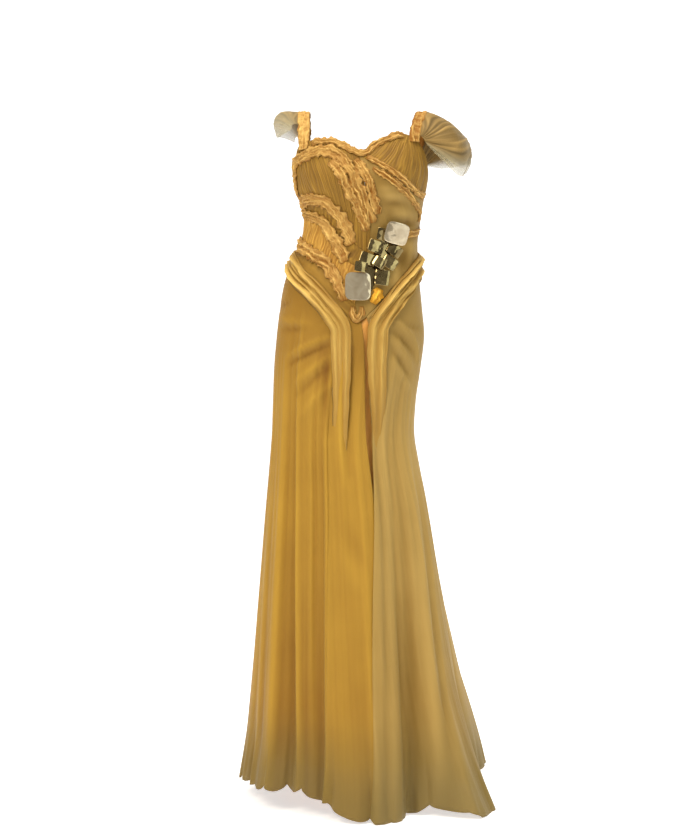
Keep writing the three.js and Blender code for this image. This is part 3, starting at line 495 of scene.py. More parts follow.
def cloth_material(
    name, deep, light, crinkle, uneven=0.3, roughness=0.62, sheen=0.14, free=None, layers=None
):
    """A dyed cloth. free is its colour and the alpha of one layer where it is backed and where it hangs free.
    layers are its two dyes where more layers lie on each other."""
    material, tree, shader = new_material(
        name, Roughness=roughness, Sheen_Weight=sheen, Sheen_Roughness=0.5, Sheen_Tint=colour("f0dfa8"),
        Specular_IOR_Level=0.25,
    )
    tone = placed(tree, DYE_AND_PAINTED_SHADE, Uneven=uneven).outputs["Light"]
    # Deep and light colours blended by uneven dye and by the painted shade and highlight of the folds.
    base = blended(tree, tone, deep, light)
    if layers:
        base = blended(tree, attribute(tree, "layered"), base, blended(tree, tone, *layers))
    if free:
        free_colour, backed_alpha, free_alpha = free
        loose = attribute(tree, "loose")
        base = blended(tree, maths(tree, "MULTIPLY", loose, THINNED), base, free_colour)
        cover = node(tree, "ShaderNodeMapRange", Value=loose, To_Min=backed_alpha, To_Max=free_alpha)
        tree.links.new(cover.outputs["Result"], shader.inputs["Alpha"])
    tree.links.new(base, shader.inputs["Base Color"])
    across, lengthways, fine, crumple_depth = crinkle
    folds = placed(tree, CRINKLE, Across=across, Along=lengthways, Fine=fine)
    threads = placed(tree, WEAVE, Pitch=WEAVE_PITCH * MM)
    low = bumped(tree, folds.outputs["Height"], 0.6, crumple_depth)
    high = bumped(tree, threads.outputs["Height"], 0.4, WEAVE_DEPTH, Normal=low)
    tree.links.new(high, shader.inputs["Normal"])
    return material


def mirror_material(name, deep, light, metallic):
    """Polished metal with faint dents and a film of wear."""
    material, tree, shader = new_material(name, Metallic=metallic)
    film = placed(tree, FILM, Cells=38.0).outputs["Film"]
    dents = placed(tree, DENTS, Cells=45.0).outputs["Height"]
    rough = node(tree, "ShaderNodeMapRange", Value=film, To_Min=0.03, To_Max=0.12)
    tree.links.new(blended(tree, film, deep, light), shader.inputs["Base Color"])
    tree.links.new(rough.outputs["Result"], shader.inputs["Roughness"])
    tree.links.new(bumped(tree, dents, 0.5, 2.4), shader.inputs["Normal"])
    return material


# Crinkles: cells in a metre across and along the cloth, share of the fine ones, and depth in millimetres.
HANGING_CRINKLE = (90.0, 9.0, 0.3, 1.2)
ROLLED_CRINKLE = (60.0, 60.0, 0.3, 1.0)
PLEAT_CRINKLE = (300.0, 22.0, 0.35, 0.9)
CRUSHED_CRINKLE = (240.0, 190.0, 0.5, 1.6)
SATIN_CRINKLE = (30.0, 6.0, 0.2, 1.0)
# Darker, more olive dyes where layers of chiffon stack; on the skirt's left gore they also paint the olive
# shade of that side.
STACKED_DYES = ("7a5a1c", "c8a45a")

CHIFFON = cloth_material(
    "silk chiffon", "764a0a", "c69a34", HANGING_CRINKLE, free=("706032", 0.97, 0.9), layers=STACKED_DYES
)
LAYERED = cloth_material("layered chiffon", *STACKED_DYES, HANGING_CRINKLE)
FLOATING = cloth_material("floating chiffon", "523e18", "ae8c50", HANGING_CRINKLE, free=("d0c8a4", 0.97, 0.3))
SWAGGED = cloth_material("swagged chiffon", "8a5e10", "e2bc64", ROLLED_CRINKLE)
# The same pleated cloth twice: darkened as painted shade for the cups, rib band, basque and back, and lighter
# as painted light for the waist fan.
PLEATED_PAINTED_SHADE = cloth_material("pleated chiffon", "5e3c08", "b2862e", PLEAT_CRINKLE)
FANNED_PAINTED_LIGHT = cloth_material("fanned chiffon", "84500c", "e4b04e", PLEAT_CRINKLE)
RUCHED = cloth_material("ruched silk", "8c5812", "ecc06c", CRUSHED_CRINKLE, uneven=0.4)
GOLDEN = cloth_material("golden silk", "b87c10", "ffc440", CRUSHED_CRINKLE, uneven=0.4)
SATIN = cloth_material("lining satin", "b4742a", "e4a450", SATIN_CRINKLE, roughness=0.42, sheen=0.05)
MIRROR = mirror_material("polished plate", "b09c7c", "e0d2b4", 0.7)
# A darker, browner copy of the polished metal: its tint paints the dark reflections of the room.
PAINTED_DARK_MIRROR = mirror_material("bronzed plate", "4e3c1e", "c4ae78", 0.95)


# ---------------------------------------------------------------- meshes
def shown(name, data):
    """An object in the scene."""
    made = bpy.data.objects.new(name, data)
    bpy.context.scene.collection.objects.link(made)
    return made


def piece_from(name, points, faces, material, slot, cloth=None, **values):
    """A smooth mesh from points in millimetres. cloth is their place on the cloth, and values are the crest,
    loose and layered that its material reads at them."""
    mesh = bpy.data.meshes.new(name)
    mesh.from_pydata((points * MM).tolist(), [], faces)
    for label, each in values.items():
        held = mesh.attributes.new(label, "FLOAT", "POINT")
        held.data.foreach_set("value", np.clip(np.ravel(each), 0, 1).astype(np.float32))
    if cloth is not None:
        held = mesh.attributes.new("cloth", "FLOAT_VECTOR", "POINT")
        held.data.foreach_set("vector", np.ravel(cloth * MM).astype(np.float32))
    mesh.materials.append(material)
    mesh.shade_smooth()
    made = shown(name, mesh)
    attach(made, "root")
    return made


def facing_out(points, faces):
    """Faces of a closed mesh turned so that they enclose a positive volume."""
    corners = points[np.array(faces)]
    first, second, third = corners[:, 0], corners[:, 1], corners[:, 2]
    volume = np.einsum("ij,ij->i", first, np.cross(second, third)).sum()
    if corners.shape[1] == 4:
        volume += np.einsum("ij,ij->i", first, np.cross(third, corners[:, 3])).sum()
    return faces[:, ::-1] if volume < 0 else faces


def wall_faces(rows, columns, closed):
    """Faces of a wall between an outer and an inner grid of rows by columns, with its rims."""
    def at(side, row, column):
        return side * rows * columns + row * columns + column % columns

    def strip(*corners):
        return np.stack(np.broadcast_arrays(*corners), -1).reshape(-1, 4)

    r, c = np.arange(rows - 1)[:, None], np.arange(columns if closed else columns - 1)[None, :]
    last, end = rows - 1, columns - 1
    faces = [
        strip(at(0, r, c), at(0, r, c + 1), at(0, r + 1, c + 1), at(0, r + 1, c)),
        strip(at(1, r, c), at(1, r + 1, c), at(1, r + 1, c + 1), at(1, r, c + 1)),
        strip(at(1, 0, c), at(1, 0, c + 1), at(0, 0, c + 1), at(0, 0, c)),
        strip(at(0, last, c), at(0, last, c + 1), at(1, last, c + 1), at(1, last, c)),
    ]
    if not closed:
        faces += [
            strip(at(0, r, 0), at(0, r + 1, 0), at(1, r + 1, 0), at(1, r, 0)),
            strip(at(0, r, end), at(1, r, end), at(1, r + 1, end), at(0, r + 1, end)),
        ]
    return np.vstack(faces)


def shares(grid):
    """The share across and the share along of a grid's points."""
    return np.meshgrid(*(np.linspace(0, 1, count) for count in grid))


def own_coordinates(grid):
    """For each point of a grid, how far it lies across and along the cloth."""
    across = np.linalg.norm(np.diff(grid, axis=1), axis=-1).cumsum(1)
    down = np.linalg.norm(np.diff(grid, axis=0), axis=-1).cumsum(0)
    across = np.pad(across, ((0, 0), (1, 0)))
    down = np.pad(down, ((1, 0), (0, 0)))
    return np.stack([across, down, 0 * down], -1)


def cloth_shell(
    name, outer, inner, material, crest=0.6, loose=0.0, layered=0.0, slot="chiffon", closed=False
):
    """A thin piece of cloth between two grids of points."""
    rows, columns = outer.shape[:2]
    points = np.vstack([outer.reshape(-1, 3), inner.reshape(-1, 3)])
    faces = facing_out(points, wall_faces(rows, columns, closed))
    cloth = own_coordinates(outer).reshape(-1, 3)
    # The first value is painted shade and highlight along the folds; loose and layered say how free and how
    # stacked the cloth is.
    values = {
        label: np.tile(np.ravel(np.broadcast_to(each, (rows, columns))), 2)
        for label, each in (("crest", crest), ("loose", loose), ("layered", layered))
    }
    return piece_from(name, points, faces.tolist(), material, slot, cloth=np.vstack([cloth, cloth]), **values)


def cloth_over(name, turn, z, height, material, folded=True, **more):
    """A thin piece of cloth at a height over the figure."""
    outer, inner = raised(turn, z, height, folded), raised(turn, z, height - THIN, folded)
    return cloth_shell(name, outer, inner, material, **more)


def bar_shell(name, sections, material, slot, crest):
    """A closed bar through rings of points, its ends closed by one face each."""
    count, size = sections.shape[:2]
    i, j = np.meshgrid(np.arange(count - 1), np.arange(size), indexing="ij")
    a, b = (i * size + j).ravel(), (i * size + (j + 1) % size).ravel()
    points = sections.reshape(-1, 3)
    sides = np.stack([a, b, b + size, a + size], 1)
    quads = facing_out(points, sides)
    first, last = list(range(size)), list(range((count - 1) * size, count * size))
    ends = [first[::-1], last] if quads is sides else [first, last[::-1]]
    # own_coordinates runs round the ring; its first row lies across the strip.
    cloth = own_coordinates(np.moveaxis(sections, 0, 1)).swapaxes(0, 1).reshape(-1, 3)[:, [1, 0, 2]]
    return piece_from(name, points, quads.tolist() + ends, material, slot, cloth=cloth, crest=crest)


# ---------------------------------------------------------------- pleats and gathers
def crumple(x, y, seed):
    """Creased silk from 0 to 1: sharp crests that wander, with soft hollows between them."""
    bent = 0.35 * noise(x * 0.6, y * 0.6, seed + 1)
    broad = 1 - abs(noise(x + bent, y - bent, seed))
    return mix(broad, 1 - abs(noise(x * 2.1, y * 2.1 + bent, seed + 2)), 0.3) ** 1.6


def gathers(across, down, count, seed, keen=1.4):
    """Heights from 0 to 1 of uneven gathers that run down the cloth, about count of them side by side."""
    place = across * count
    wander = noise(place * 0.3, down * 1.6, seed) + 0.3 * noise(place * 0.8, down * 5, seed + 1)
    phase = place + wander
    ridge = (0.5 - 0.5 * np.cos(2 * np.pi * phase)) ** keen
    depth = 0.6 + 0.4 * noise(phase * 0.9 + 7, down * 3.1, seed + 2)
    creased = (1 - abs(noise(place * 1.3 + wander, down * 1.8, seed + 3))) ** 3
    fine = (1 - abs(noise(place * 3.1 + wander, down * 3.4, seed + 4))) ** 2
    return np.clip(0.5 * ridge * depth + 0.45 * creased + 0.2 * fine - 0.05, 0, 1)


def corner_of(top, bottom, left, right, u, v):
    """Turn and z inside four routes."""
    a, b = top(u), bottom(u)
    if left is None:
        return mix(a, b, v)
    c, d = left(v), right(v)
    corners = [np.reshape(side(end), (2,) + (1,) * np.ndim(u)) for side, end in
               ((top, 0.0), (top, 1.0), (bottom, 0.0), (bottom, 1.0))]
    bilinear = mix(mix(corners[0], corners[1], u), mix(corners[2], corners[3], u), v)
    return mix(a, b, v) + mix(c, d, u) - bilinear


PANEL_FADE = 0.1  # share of a panel's length over which its gathers flatten to its seams


def panel(
    name, top, bottom, left=None, right=None, *, grid, seed, count=0, rise=0.0, soft=0.5, material=PLEATED_PAINTED_SHADE,
    relief=None, tone=0.5
):
    """A bodice panel between four routes, its gathers running from the top edge to the bottom edge."""
    u, v = shares(grid)
    turn, z = corner_of(top, bottom, left, right, u, v)
    flat = raised(turn, z, np.zeros_like(u), folded=False)
    breadth = np.linalg.norm(np.diff(flat, axis=1), axis=-1).sum(1)[:, None]
    length = np.linalg.norm(np.diff(flat, axis=0), axis=-1).sum(0)[None, :]
    turn, z = corner_of(top, bottom, left, right, mix(SEAM / breadth, 1 - SEAM / breadth, u),
                        mix(SEAM / length, 1 - SEAM / length, v))
    inside = smooth(0, PANEL_FADE, v) * smooth(1, 1 - PANEL_FADE, v) * smooth(0, 0.03, u) * smooth(1, 0.97, u)
    wave = gathers(u, v, count, seed) if count else 0.0 * u
    broad = 0.5 * noise(u * 5, v * 4, seed + 5) + 0.5 * noise(u * 11, v * 9, seed + 6)
    swell = relief(turn, z) if relief else 0.0 * u
    height = rise * wave * mix(0.45, 1, inside) + soft * (0.5 + 0.5 * broad) * inside + swell
    # Painted highlight on gather crests and painted shade between them; smooth panels take a set level with
    # random patches, painted highlight on swellings and painted shade in dents.
    crest = (0.2 + 0.75 * wave if count else tone + 0.25 * broad) + 0.12 * swell
    return cloth_over(name, turn, z, CLOTH + height, material, folded=False, crest=crest)


# ---------------------------------------------------------------- bodice
neck_right = route(
    (-SIDE, -128), (-80, -104),
    *front((-142, -82), (-128, -73), (-100, -66), (-64, -68), (-40, -80), (-13, -97)),
)
rib_upper = route(
    (-SIDE, -196),
    *front((-101, -196), (-75, -207), (-53, -231), (-35, -264), (-16, -295), (11, -312)),
)
rib_lower = route(
    (-SIDE, -226),
    *front((-108, -229), (-86, -244), (-66, -273), (-51, -306), (-31, -332), (0, -345)),
)
fan_edge = route(
    (-SIDE, -288),
    *front((-133, -296), (-114, -309), (-92, -324), (-73, -348), (-59, -371), (-46, -396), (-21, -418)),
)
gather_left = route(*front((70, -54), (90, -56), (108, -64), (121, -78)))
neck_left = route(*front((70, -54), (46, -66), (22, -82), (4, -94), (-13, -97)))
crossing = route(
    *front((-13, -97), (4, -112), (31, -127), (62, -147), (90, -169), (112, -188)),
    (80, -197), (SIDE, -200),
)
armhole_left = route(on_x(121, -78), (80, -108), (SIDE, -136), (SIDE, -200), bent=True)
CENTRE_POINT = 6
centre_seam = route(
    *front((-13, -97), (11, -312), (0, -345), (-21, -418)),
    (CENTRE_POINT, waist_at(CENTRE_POINT)), bent=True,
)
side_left = route((SIDE, -200), (SIDE, float(waist_at(SIDE))), bent=True)
back_top = route((90, -136), (125, -148), (155, -166), (180, -172), (205, -166), (235, -146), (270, -128))


def dents(*places):
    """Shallow hollows and swellings of a smooth panel: x, z, wide, tall and height of each."""
    def read(turn, z):
        x = surface(turn, z, folded=False)[..., 0]
        return sum(h * np.exp(-(((x - px) / w) ** 2 + ((z - pz) / t) ** 2)) for px, pz, w, t, h in places)
    return read


MIDRIFF_DENTS = dents(
    (86, -226, 17, 11, 2.4), (92, -247, 22, 8, -2.4), (58, -186, 24, 8, 2.2), (66, -204, 20, 7, -2.0),
    (44, -172, 16, 8, 2.0), (100, -300, 12, 16, 2.2), (84, -330, 14, 22, -2.2), (66, -360, 10, 24, 2.2),
)
waist_right = waist_route(-SIDE, CENTRE_POINT)
waist_left = waist_route(CENTRE_POINT, SIDE)
waist_back = waist_route(SIDE, 270)

# For each panel its edges (top, bottom and, where it has them, left and right) and how it is made.
PANELS = {
    "cup_right": ((neck_right, rib_upper), dict(grid=(250, 80), count=36, rise=2.0, seed=11)),
    "rib_band_right": ((rib_upper, rib_lower), dict(grid=(170, 22), count=20, rise=1.2, seed=21)),
    "waist_fan_right": (
        (rib_lower, fan_edge), dict(grid=(220, 52), count=28, rise=2.2, seed=31, material=FANNED_PAINTED_LIGHT)
    ),
    "basque_right": ((fan_edge, waist_right), dict(grid=(110, 34), soft=1.2, seed=41)),
    "cup_left": (
        (gather_left, crossing, neck_left, armhole_left), dict(grid=(230, 80), count=32, rise=1.8, seed=51)
    ),
    "midriff_left": (
        (crossing, waist_left, centre_seam, side_left),
        dict(grid=(100, 90), soft=1.0, seed=61, material=LAYERED, tone=0.26, relief=MIDRIFF_DENTS),
    ),
    "bodice_back": ((back_top, waist_back), dict(grid=(240, 60), count=34, rise=1.8, seed=71)),
}
cloth_pieces = {name: panel(name + "_cloth", *edges, **made) for name, (edges, made) in PANELS.items()}

# ---------------------------------------------------------------- skirt
right_edge = route(*front((-60, -428), (-62, -560), (-66, -900), (-70, -1480)))
centre_right = route(*front((-59, -428), (-59, -515), (-70, -600), (-76, -900), (-82, -1480)))
centre_left = route(*front((-8, -456), (0, -560), (2, -690), (14, -790), (24, -900), (26, -1490)))
left_edge = route(*front((4, -446), (15, -500), (18, -700), (19, -870), (14, -1100), (10, -1500)))
BACK_GAP = 0.025
SEAM_DIP = 0.8
LAP_OVER, LAP_UNDER = 2.8, -3.2
LAP_STARTS = 1 / 12  # share of the length over which the laps open from the waist
LOBE = 12  # degrees between the lobes of the hem
LOBE_CUT, LOBE_REST = 15, 6  # height of the notches between lobes, and how far lobes hang under HEM
FLARE = 11.0
# How far the hip creases stand out, and how much painted shade and highlight they put on the cloth.
DRAG_RISE, DRAG_PAINTED_SHADE = 1.8, 0.075
DEEPEST = -6.5


def lap_at(u, v):
    """Height of the centre panel: over the right panel on one edge, under the left one on the other."""
    return mix(LAP_OVER, LAP_UNDER, u) * np.clip(v / LAP_STARTS, 0, 1)


def drags_at(turn, z):
    """Soft slanting creases of the hips."""
    out = np.zeros(np.broadcast(turn, z).shape)
    for row in rows_of(DRAG):
        a = np.array([row["turn_a"] * ARC, row["z_a"]])
        b = np.array([row["turn_b"] * ARC, row["z_b"]])
        px, pz = turn * ARC - a[0], z - a[1]
        line = b - a
        share = np.clip((px * line[0] + pz * line[1]) / (line @ line), 0, 1)
        away = np.hypot(px - share * line[0], pz - share * line[1])
        out += row["height"] * np.exp(-((away / row["width"]) ** 2)) * np.sin(np.pi * mix(0.12, 0.88, share))
    return out


def lobes_at(turn):
    """Rounded lobes of the hem, uneven in length and depth, from 0 (a notch) to 1."""
    lobe = abs(np.sin(np.pi * (turn / LOBE + 0.8 * noise(turn / 15, 0.3, 81)))) ** 0.6
    return 1 - (1 - lobe) * (0.6 + 0.5 * noise(turn / 17, 6.1, 83))


def edge_flare(turn, z, hem):
    """The light hem ripples outward over its last stretch."""
    close = smooth(130, 0, z - hem)
    return close * (FLARE * (lobes_at(turn) - 0.6) + 4.0 * noise(turn / 2.6, 4.0, 82))


def skirt_panel(name, edge_a, edge_b, grid, stack=0.0, layer=None):
    """A panel of the skirt from the waist to the hem. stack is how far it takes the stacked dyes at the
    front: where its cloth lies on other layers, and on the left gore also as painted olive shade of that
    side. layer(u, v) is its height over or under its neighbours."""
    u, v = shares(grid)
    turn = mix(edge_a(v)[0], edge_b(v)[0], u)
    apart = smooth(BACK, BACK - 12, abs(turn))  # the two gores meet evenly at the back seam
    hem = np.maximum(hem_at(turn) + (LOBE_CUT * (1 - lobes_at(turn)) - LOBE_REST) * apart, FLOOR)
    z = mix(waist_at(turn) - 2 * SEAM, hem, v)
    fine = folds_at(turn, z, FINE_FOLDS)
    hanging = smooth(-430, -640, z)
    drift = 1.3 * noise(turn / 4.5, z / 300, 91) * smooth(-480, -900, z) * apart
    streaks = (noise(turn / 1.5, z / 420, 92) + 0.5 * noise(turn / 0.7, z / 300, 93)) * apart
    fine = fine + 0.35 * streaks * hanging
    drags = drags_at(turn, z)
    base = layer(u, v) if layer else 0 * u
    loosened = np.maximum(fine + drift + DRAG_RISE * drags + edge_flare(turn, z, hem) * apart, DEEPEST)
    height = base + loosened * smooth(0, 0.02, v) - SEAM_DIP * smooth(BACK - 1.5, BACK, abs(turn))
    # Painted shade in the hollows of folds, streaks and hip creases, painted highlight on their ridges;
    # darker just under the waist, and painted shade growing towards the hem.
    crest = 0.55 + 0.035 * fine + 0.005 * folds_at(turn, z) + 0.03 * streaks * hanging + DRAG_PAINTED_SHADE * drags
    crest = crest - 0.2 * smooth(-640, -500, z) - 0.14 * smooth(-760, -1380, z)
    loose = smooth(UNDERSKIRT_HEM + 150, hem + 10, z)
    # Stacked dyes from stack at the front and half strength at the back; on the left gore this also paints
    # the olive shade of that side.
    layered = mix(stack, 0.5, smooth(90, 172, abs(turn)))
    return cloth_over(name, turn, z, CLOTH + height, CHIFFON, crest=crest, loose=loose, layered=layered)


def back_edge(turn):
    return lambda at: np.stack([turn + 0 * np.asarray(at, float), 0 * np.asarray(at, float)])


back_right, back_left = back_edge(-BACK + BACK_GAP), back_edge(BACK - BACK_GAP)
cloth_pieces.update(
    skirt_right=skirt_panel("skirt_right_cloth", back_right, right_edge, (250, 130)),
    skirt_center=skirt_panel("skirt_center_cloth", centre_right, centre_left, (60, 130), layer=lap_at),
    # The left gore takes the stacked dyes all over, partly as painted shade of that side.
    skirt_left=skirt_panel("skirt_left_cloth", left_edge, back_left, (270, 130), stack=1.0),
)


def underskirt():
    columns, rows = 160, 46
    u, v = np.meshgrid(np.arange(columns) / columns, np.linspace(0, 1, rows))
    turn = u * 360 - BACK
    z = mix(waist_at(turn) - 2, UNDERSKIRT_HEM, v)
    inset = 0.8 + 4.6 * smooth(0, 0.09, v) + 52 * v**1.5
    wave = (2.2 * noise(turn / 9, v * 1.5, 101) + 1.2 * noise(turn / 4, v * 2, 102)) * smooth(0.1, 0.6, v)
    # The noise runs on at the back, so its two ends are blended there.
    wave = wave * smooth(180, 168, abs(turn))
    name = "underskirt_cloth"
    return cloth_over(name, turn, z, wave - inset, SATIN, folded=False, slot="lining", closed=True)


cloth_pieces["underskirt"] = underskirt()


# ---------------------------------------------------------------- trim laid on the panels
def laid(path, stations, section, lift):
    """Rings of points along a route. section(share) gives side offsets and heights, stations by ring."""
    share = np.linspace(0, 1, stations)
    step = 0.5 / max(stations / 8, 1)
    turn, z = path(share)
    before, after = path(np.clip(share - step, 0, 1)), path(np.clip(share + step, 0, 1))
    width = np.linalg.norm(surface(turn + 0.5, z, False) - surface(turn - 0.5, z, False), axis=-1)
    heading = np.stack([(after[0] - before[0]) * width, after[1] - before[1]])
    heading = heading / np.linalg.norm(heading, axis=0)
    side, height = section(share)
    ring_turn = turn[:, None] - side * (heading[1] / width)[:, None]
    ring_z = z[:, None] + side * heading[0][:, None]
    height = height + (lift(share)[:, None] if callable(lift) else lift)
    return raised(ring_turn, ring_z, height)


def polyline_length(points):
    return float(np.linalg.norm(np.diff(points, axis=0), axis=-1).sum())


def length_of(path):
    return polyline_length(surface(*path(np.linspace(0, 1, 200))))


STATION = 1.25  # millimetres between the rings of a ruffle or strap
UNDER = np.linspace(1, -1, 6)[None, 1:-1]  # places across of a ring's points under the cloth
ACROSS = np.linspace(-1, 1, 23)[None, :]  # and over it, on a ruffle or strap
DOME = np.clip(1 - abs(ACROSS) ** 4, 0, 1) ** 0.5


def strands_at(t, s, strands, pucker, seed, crush):
    """Heights from 0 to 1 of soft frilled edges of crushed cloth that run side by side. t is the length along
    them in millimetres and s runs from -1 to 1 across them."""
    tall = 0.36 + 0.14 * noise(t / (1.5 * pucker), s * 1.4, seed + 6)
    for k in range(strands):
        swing = noise(t / (1.3 * pucker), k * 1.9, seed + 2)
        swing = swing + 0.45 * noise(t / (0.42 * pucker), k * 2.9, seed + 5)
        drift = 0.6 * noise(t / (4 * pucker), k * 3.1, seed)
        middle = (2 * k + 1) / strands - 1 + (0.32 * swing + drift) / strands
        half = (0.46 + 0.24 * noise(t / (1.2 * pucker), k * 2.3, seed + 1)) / strands
        half = half * np.where(s > middle, 1.25, 0.6)
        top = 0.74 + 0.26 * noise(t / (0.9 * pucker), k * 5.7, seed + 3)
        tall = np.maximum(tall, top * np.exp(-abs((s - middle) / half) ** 1.3))
    drawn = (1 - abs(noise(t / 26, s * 4.2 + 0.35 * noise(t / 8, s, seed + 8), seed + 7))) ** 2 - 0.5
    return np.clip(tall + 0.27 * drawn + crush * (crumple(t / 7.5, s * 1.4, seed + 4) - 0.5), 0.05, 1)


def ruched(
    name, path, width, height, seed, strands=2, lift=LIFT, pucker=11, crush=0.24, frill=1.2, slot="ruffle",
    material=RUCHED
):
    """A crushed ruffle with frayed, frilled edges."""
    length = length_of(path)
    stations = int(length / STATION)

    def section(share):
        t, s = (share * length)[:, None], ACROSS
        end = np.sqrt(np.clip(np.minimum(share, 1 - share) * length / 12 + 0.04, 0, 1))[:, None]
        tall = height * end * DOME * strands_at(t, s, strands, pucker, seed, crush)
        flutter = 1 + np.sin(2 * np.pi * (t / (1.3 * pucker) + 0.7 * noise(t / 12, s, seed + 5)))
        tall = tall + frill * end * abs(s) ** 6 * flutter
        sway = width * (0.09 * noise(t / 13, 0.2, seed + 6) + 0.04 * noise(t / 4, 0.7, seed + 7))
        frayed = 0.26 * noise(t / 7, 9 * np.sign(s), seed + 8) + 0.1 * noise(t / 2.5, s, seed + 9)
        fray = 1 + abs(s) ** 2 * frayed
        side = width / 2 * s * mix(0.6, 1, end) * fray + sway
        low = UNDER * width / 2 * mix(0.6, 1, end) + sway
        return np.hstack([side, low]), np.hstack([tall, 0 * low])

    rings = laid(path, stations, section, lift)
    _, tall = section(np.linspace(0, 1, stations))
    # Painted highlight on the high parts of the ruffle and painted shade low down.
    return bar_shell(name, rings, material, slot, np.clip(1.1 * tall / height, 0, 1) ** 1.25)


RUFFLES = {
    "neck_binding": dict(
        width=15, height=7, seed=201, lift=CLOTH + 1, pucker=10,
        path=route(
            *front((-112, -77), (-100, -73), (-64, -74), (-40, -86), (-14, -98), (6, -94), (24, -80),
                   (46, -68), (66, -59), (84, -59)),
        ),
    ),
    "ruffle_cup": dict(
        width=27, height=10, strands=3, seed=211, pucker=13,
        path=route(
            (-86, -190), (-84, -150), (-80, -122),
            *front((-138, -109), (-112, -96), (-78, -94), (-54, -106), (-38, -122), (-24, -147),
                   (-12, -172), (1, -200), (9, -226), (14, -246)),
        ),
    ),
    "ruffle_cup_inner": dict(
        width=22, height=9, seed=221, frill=1.8,
        path=route(
            *front((-72, -116), (-57, -134), (-45, -157), (-33, -181), (-18, -204), (-8, -230), (4, -262)),
        ),
    ),
    "ruffle_center": dict(
        width=21, height=9, seed=231, lift=CLOSE_LIFT, pucker=10, frill=1.8,
        path=route(*front((-20, -112), (-9, -128), (6, -150), (16, -174), (22, -200), (30, -226))),
    ),
    "ruffle_cross_upper": dict(
        width=14, height=7, seed=241, lift=CLOSE_LIFT, pucker=12,
        path=route(*front((4, -108), (28, -118), (60, -138), (88, -160), (112, -178)), (84, -186)),
    ),
    "ruffle_cross_lower": dict(
        width=14, height=6.5, seed=251, lift=CLOSE_LIFT, frill=2.2,
        path=route(
            *front((17, -131), (38, -142), (62, -158), (83, -176), (100, -191), (109, -206)),
            (74, -224), (74, -242),
        ),
    ),
    "ruffle_rib_upper": dict(
        width=28, height=8.5, strands=3, seed=261, pucker=13,
        path=route(
            (-84, -200),
            *front((-124, -197), (-101, -196), (-75, -207), (-54, -232), (-37, -264), (-24, -290)),
        ),
    ),
    "ruffle_rib_lower": dict(
        width=25, height=8.5, seed=271, pucker=12, frill=1.8,
        path=route(
            (-84, -222),
            *front((-126, -224), (-106, -230), (-86, -246), (-67, -274), (-52, -306), (-42, -330)),
        ),
    ),
    "ruffle_waist": dict(
        width=25, height=10, seed=281, pucker=12, frill=2.2,
        path=route(
            (-92, -290), (-78, -289),
            *front((-133, -296), (-114, -309), (-92, -324), (-73, -348), (-59, -371), (-47, -396),
                   (-42, -412)),
        ),
    ),
    "front_tuck": dict(
        width=14, height=8, seed=291, lift=CLOSE_LIFT, pucker=12, frill=0.6,
        path=route(*front((-24, -424), (-25, -440), (-15, -452), (-6, -440), (-6, -424))),
    ),
    "ornament_tuft": dict(
        width=25, height=13, strands=1, seed=296, lift=CLOSE_LIFT, pucker=26, crush=0.2, frill=0.8,
        material=GOLDEN,
        path=route(*front((18, -418), (25, -402), (32, -386))),
    ),
    "side_tuck_left": dict(
        width=17, height=5, seed=301, lift=CLOSE_LIFT, pucker=22, crush=0.2, frill=0.3,
        slot="chiffon",
        path=route(*front((88, -272), (102, -268)), (79, -263), (92, -258)),
    ),
}
for ruffle_name, sizes in RUFFLES.items():
    cloth_pieces[ruffle_name] = ruched(ruffle_name + "_cloth", **sizes)


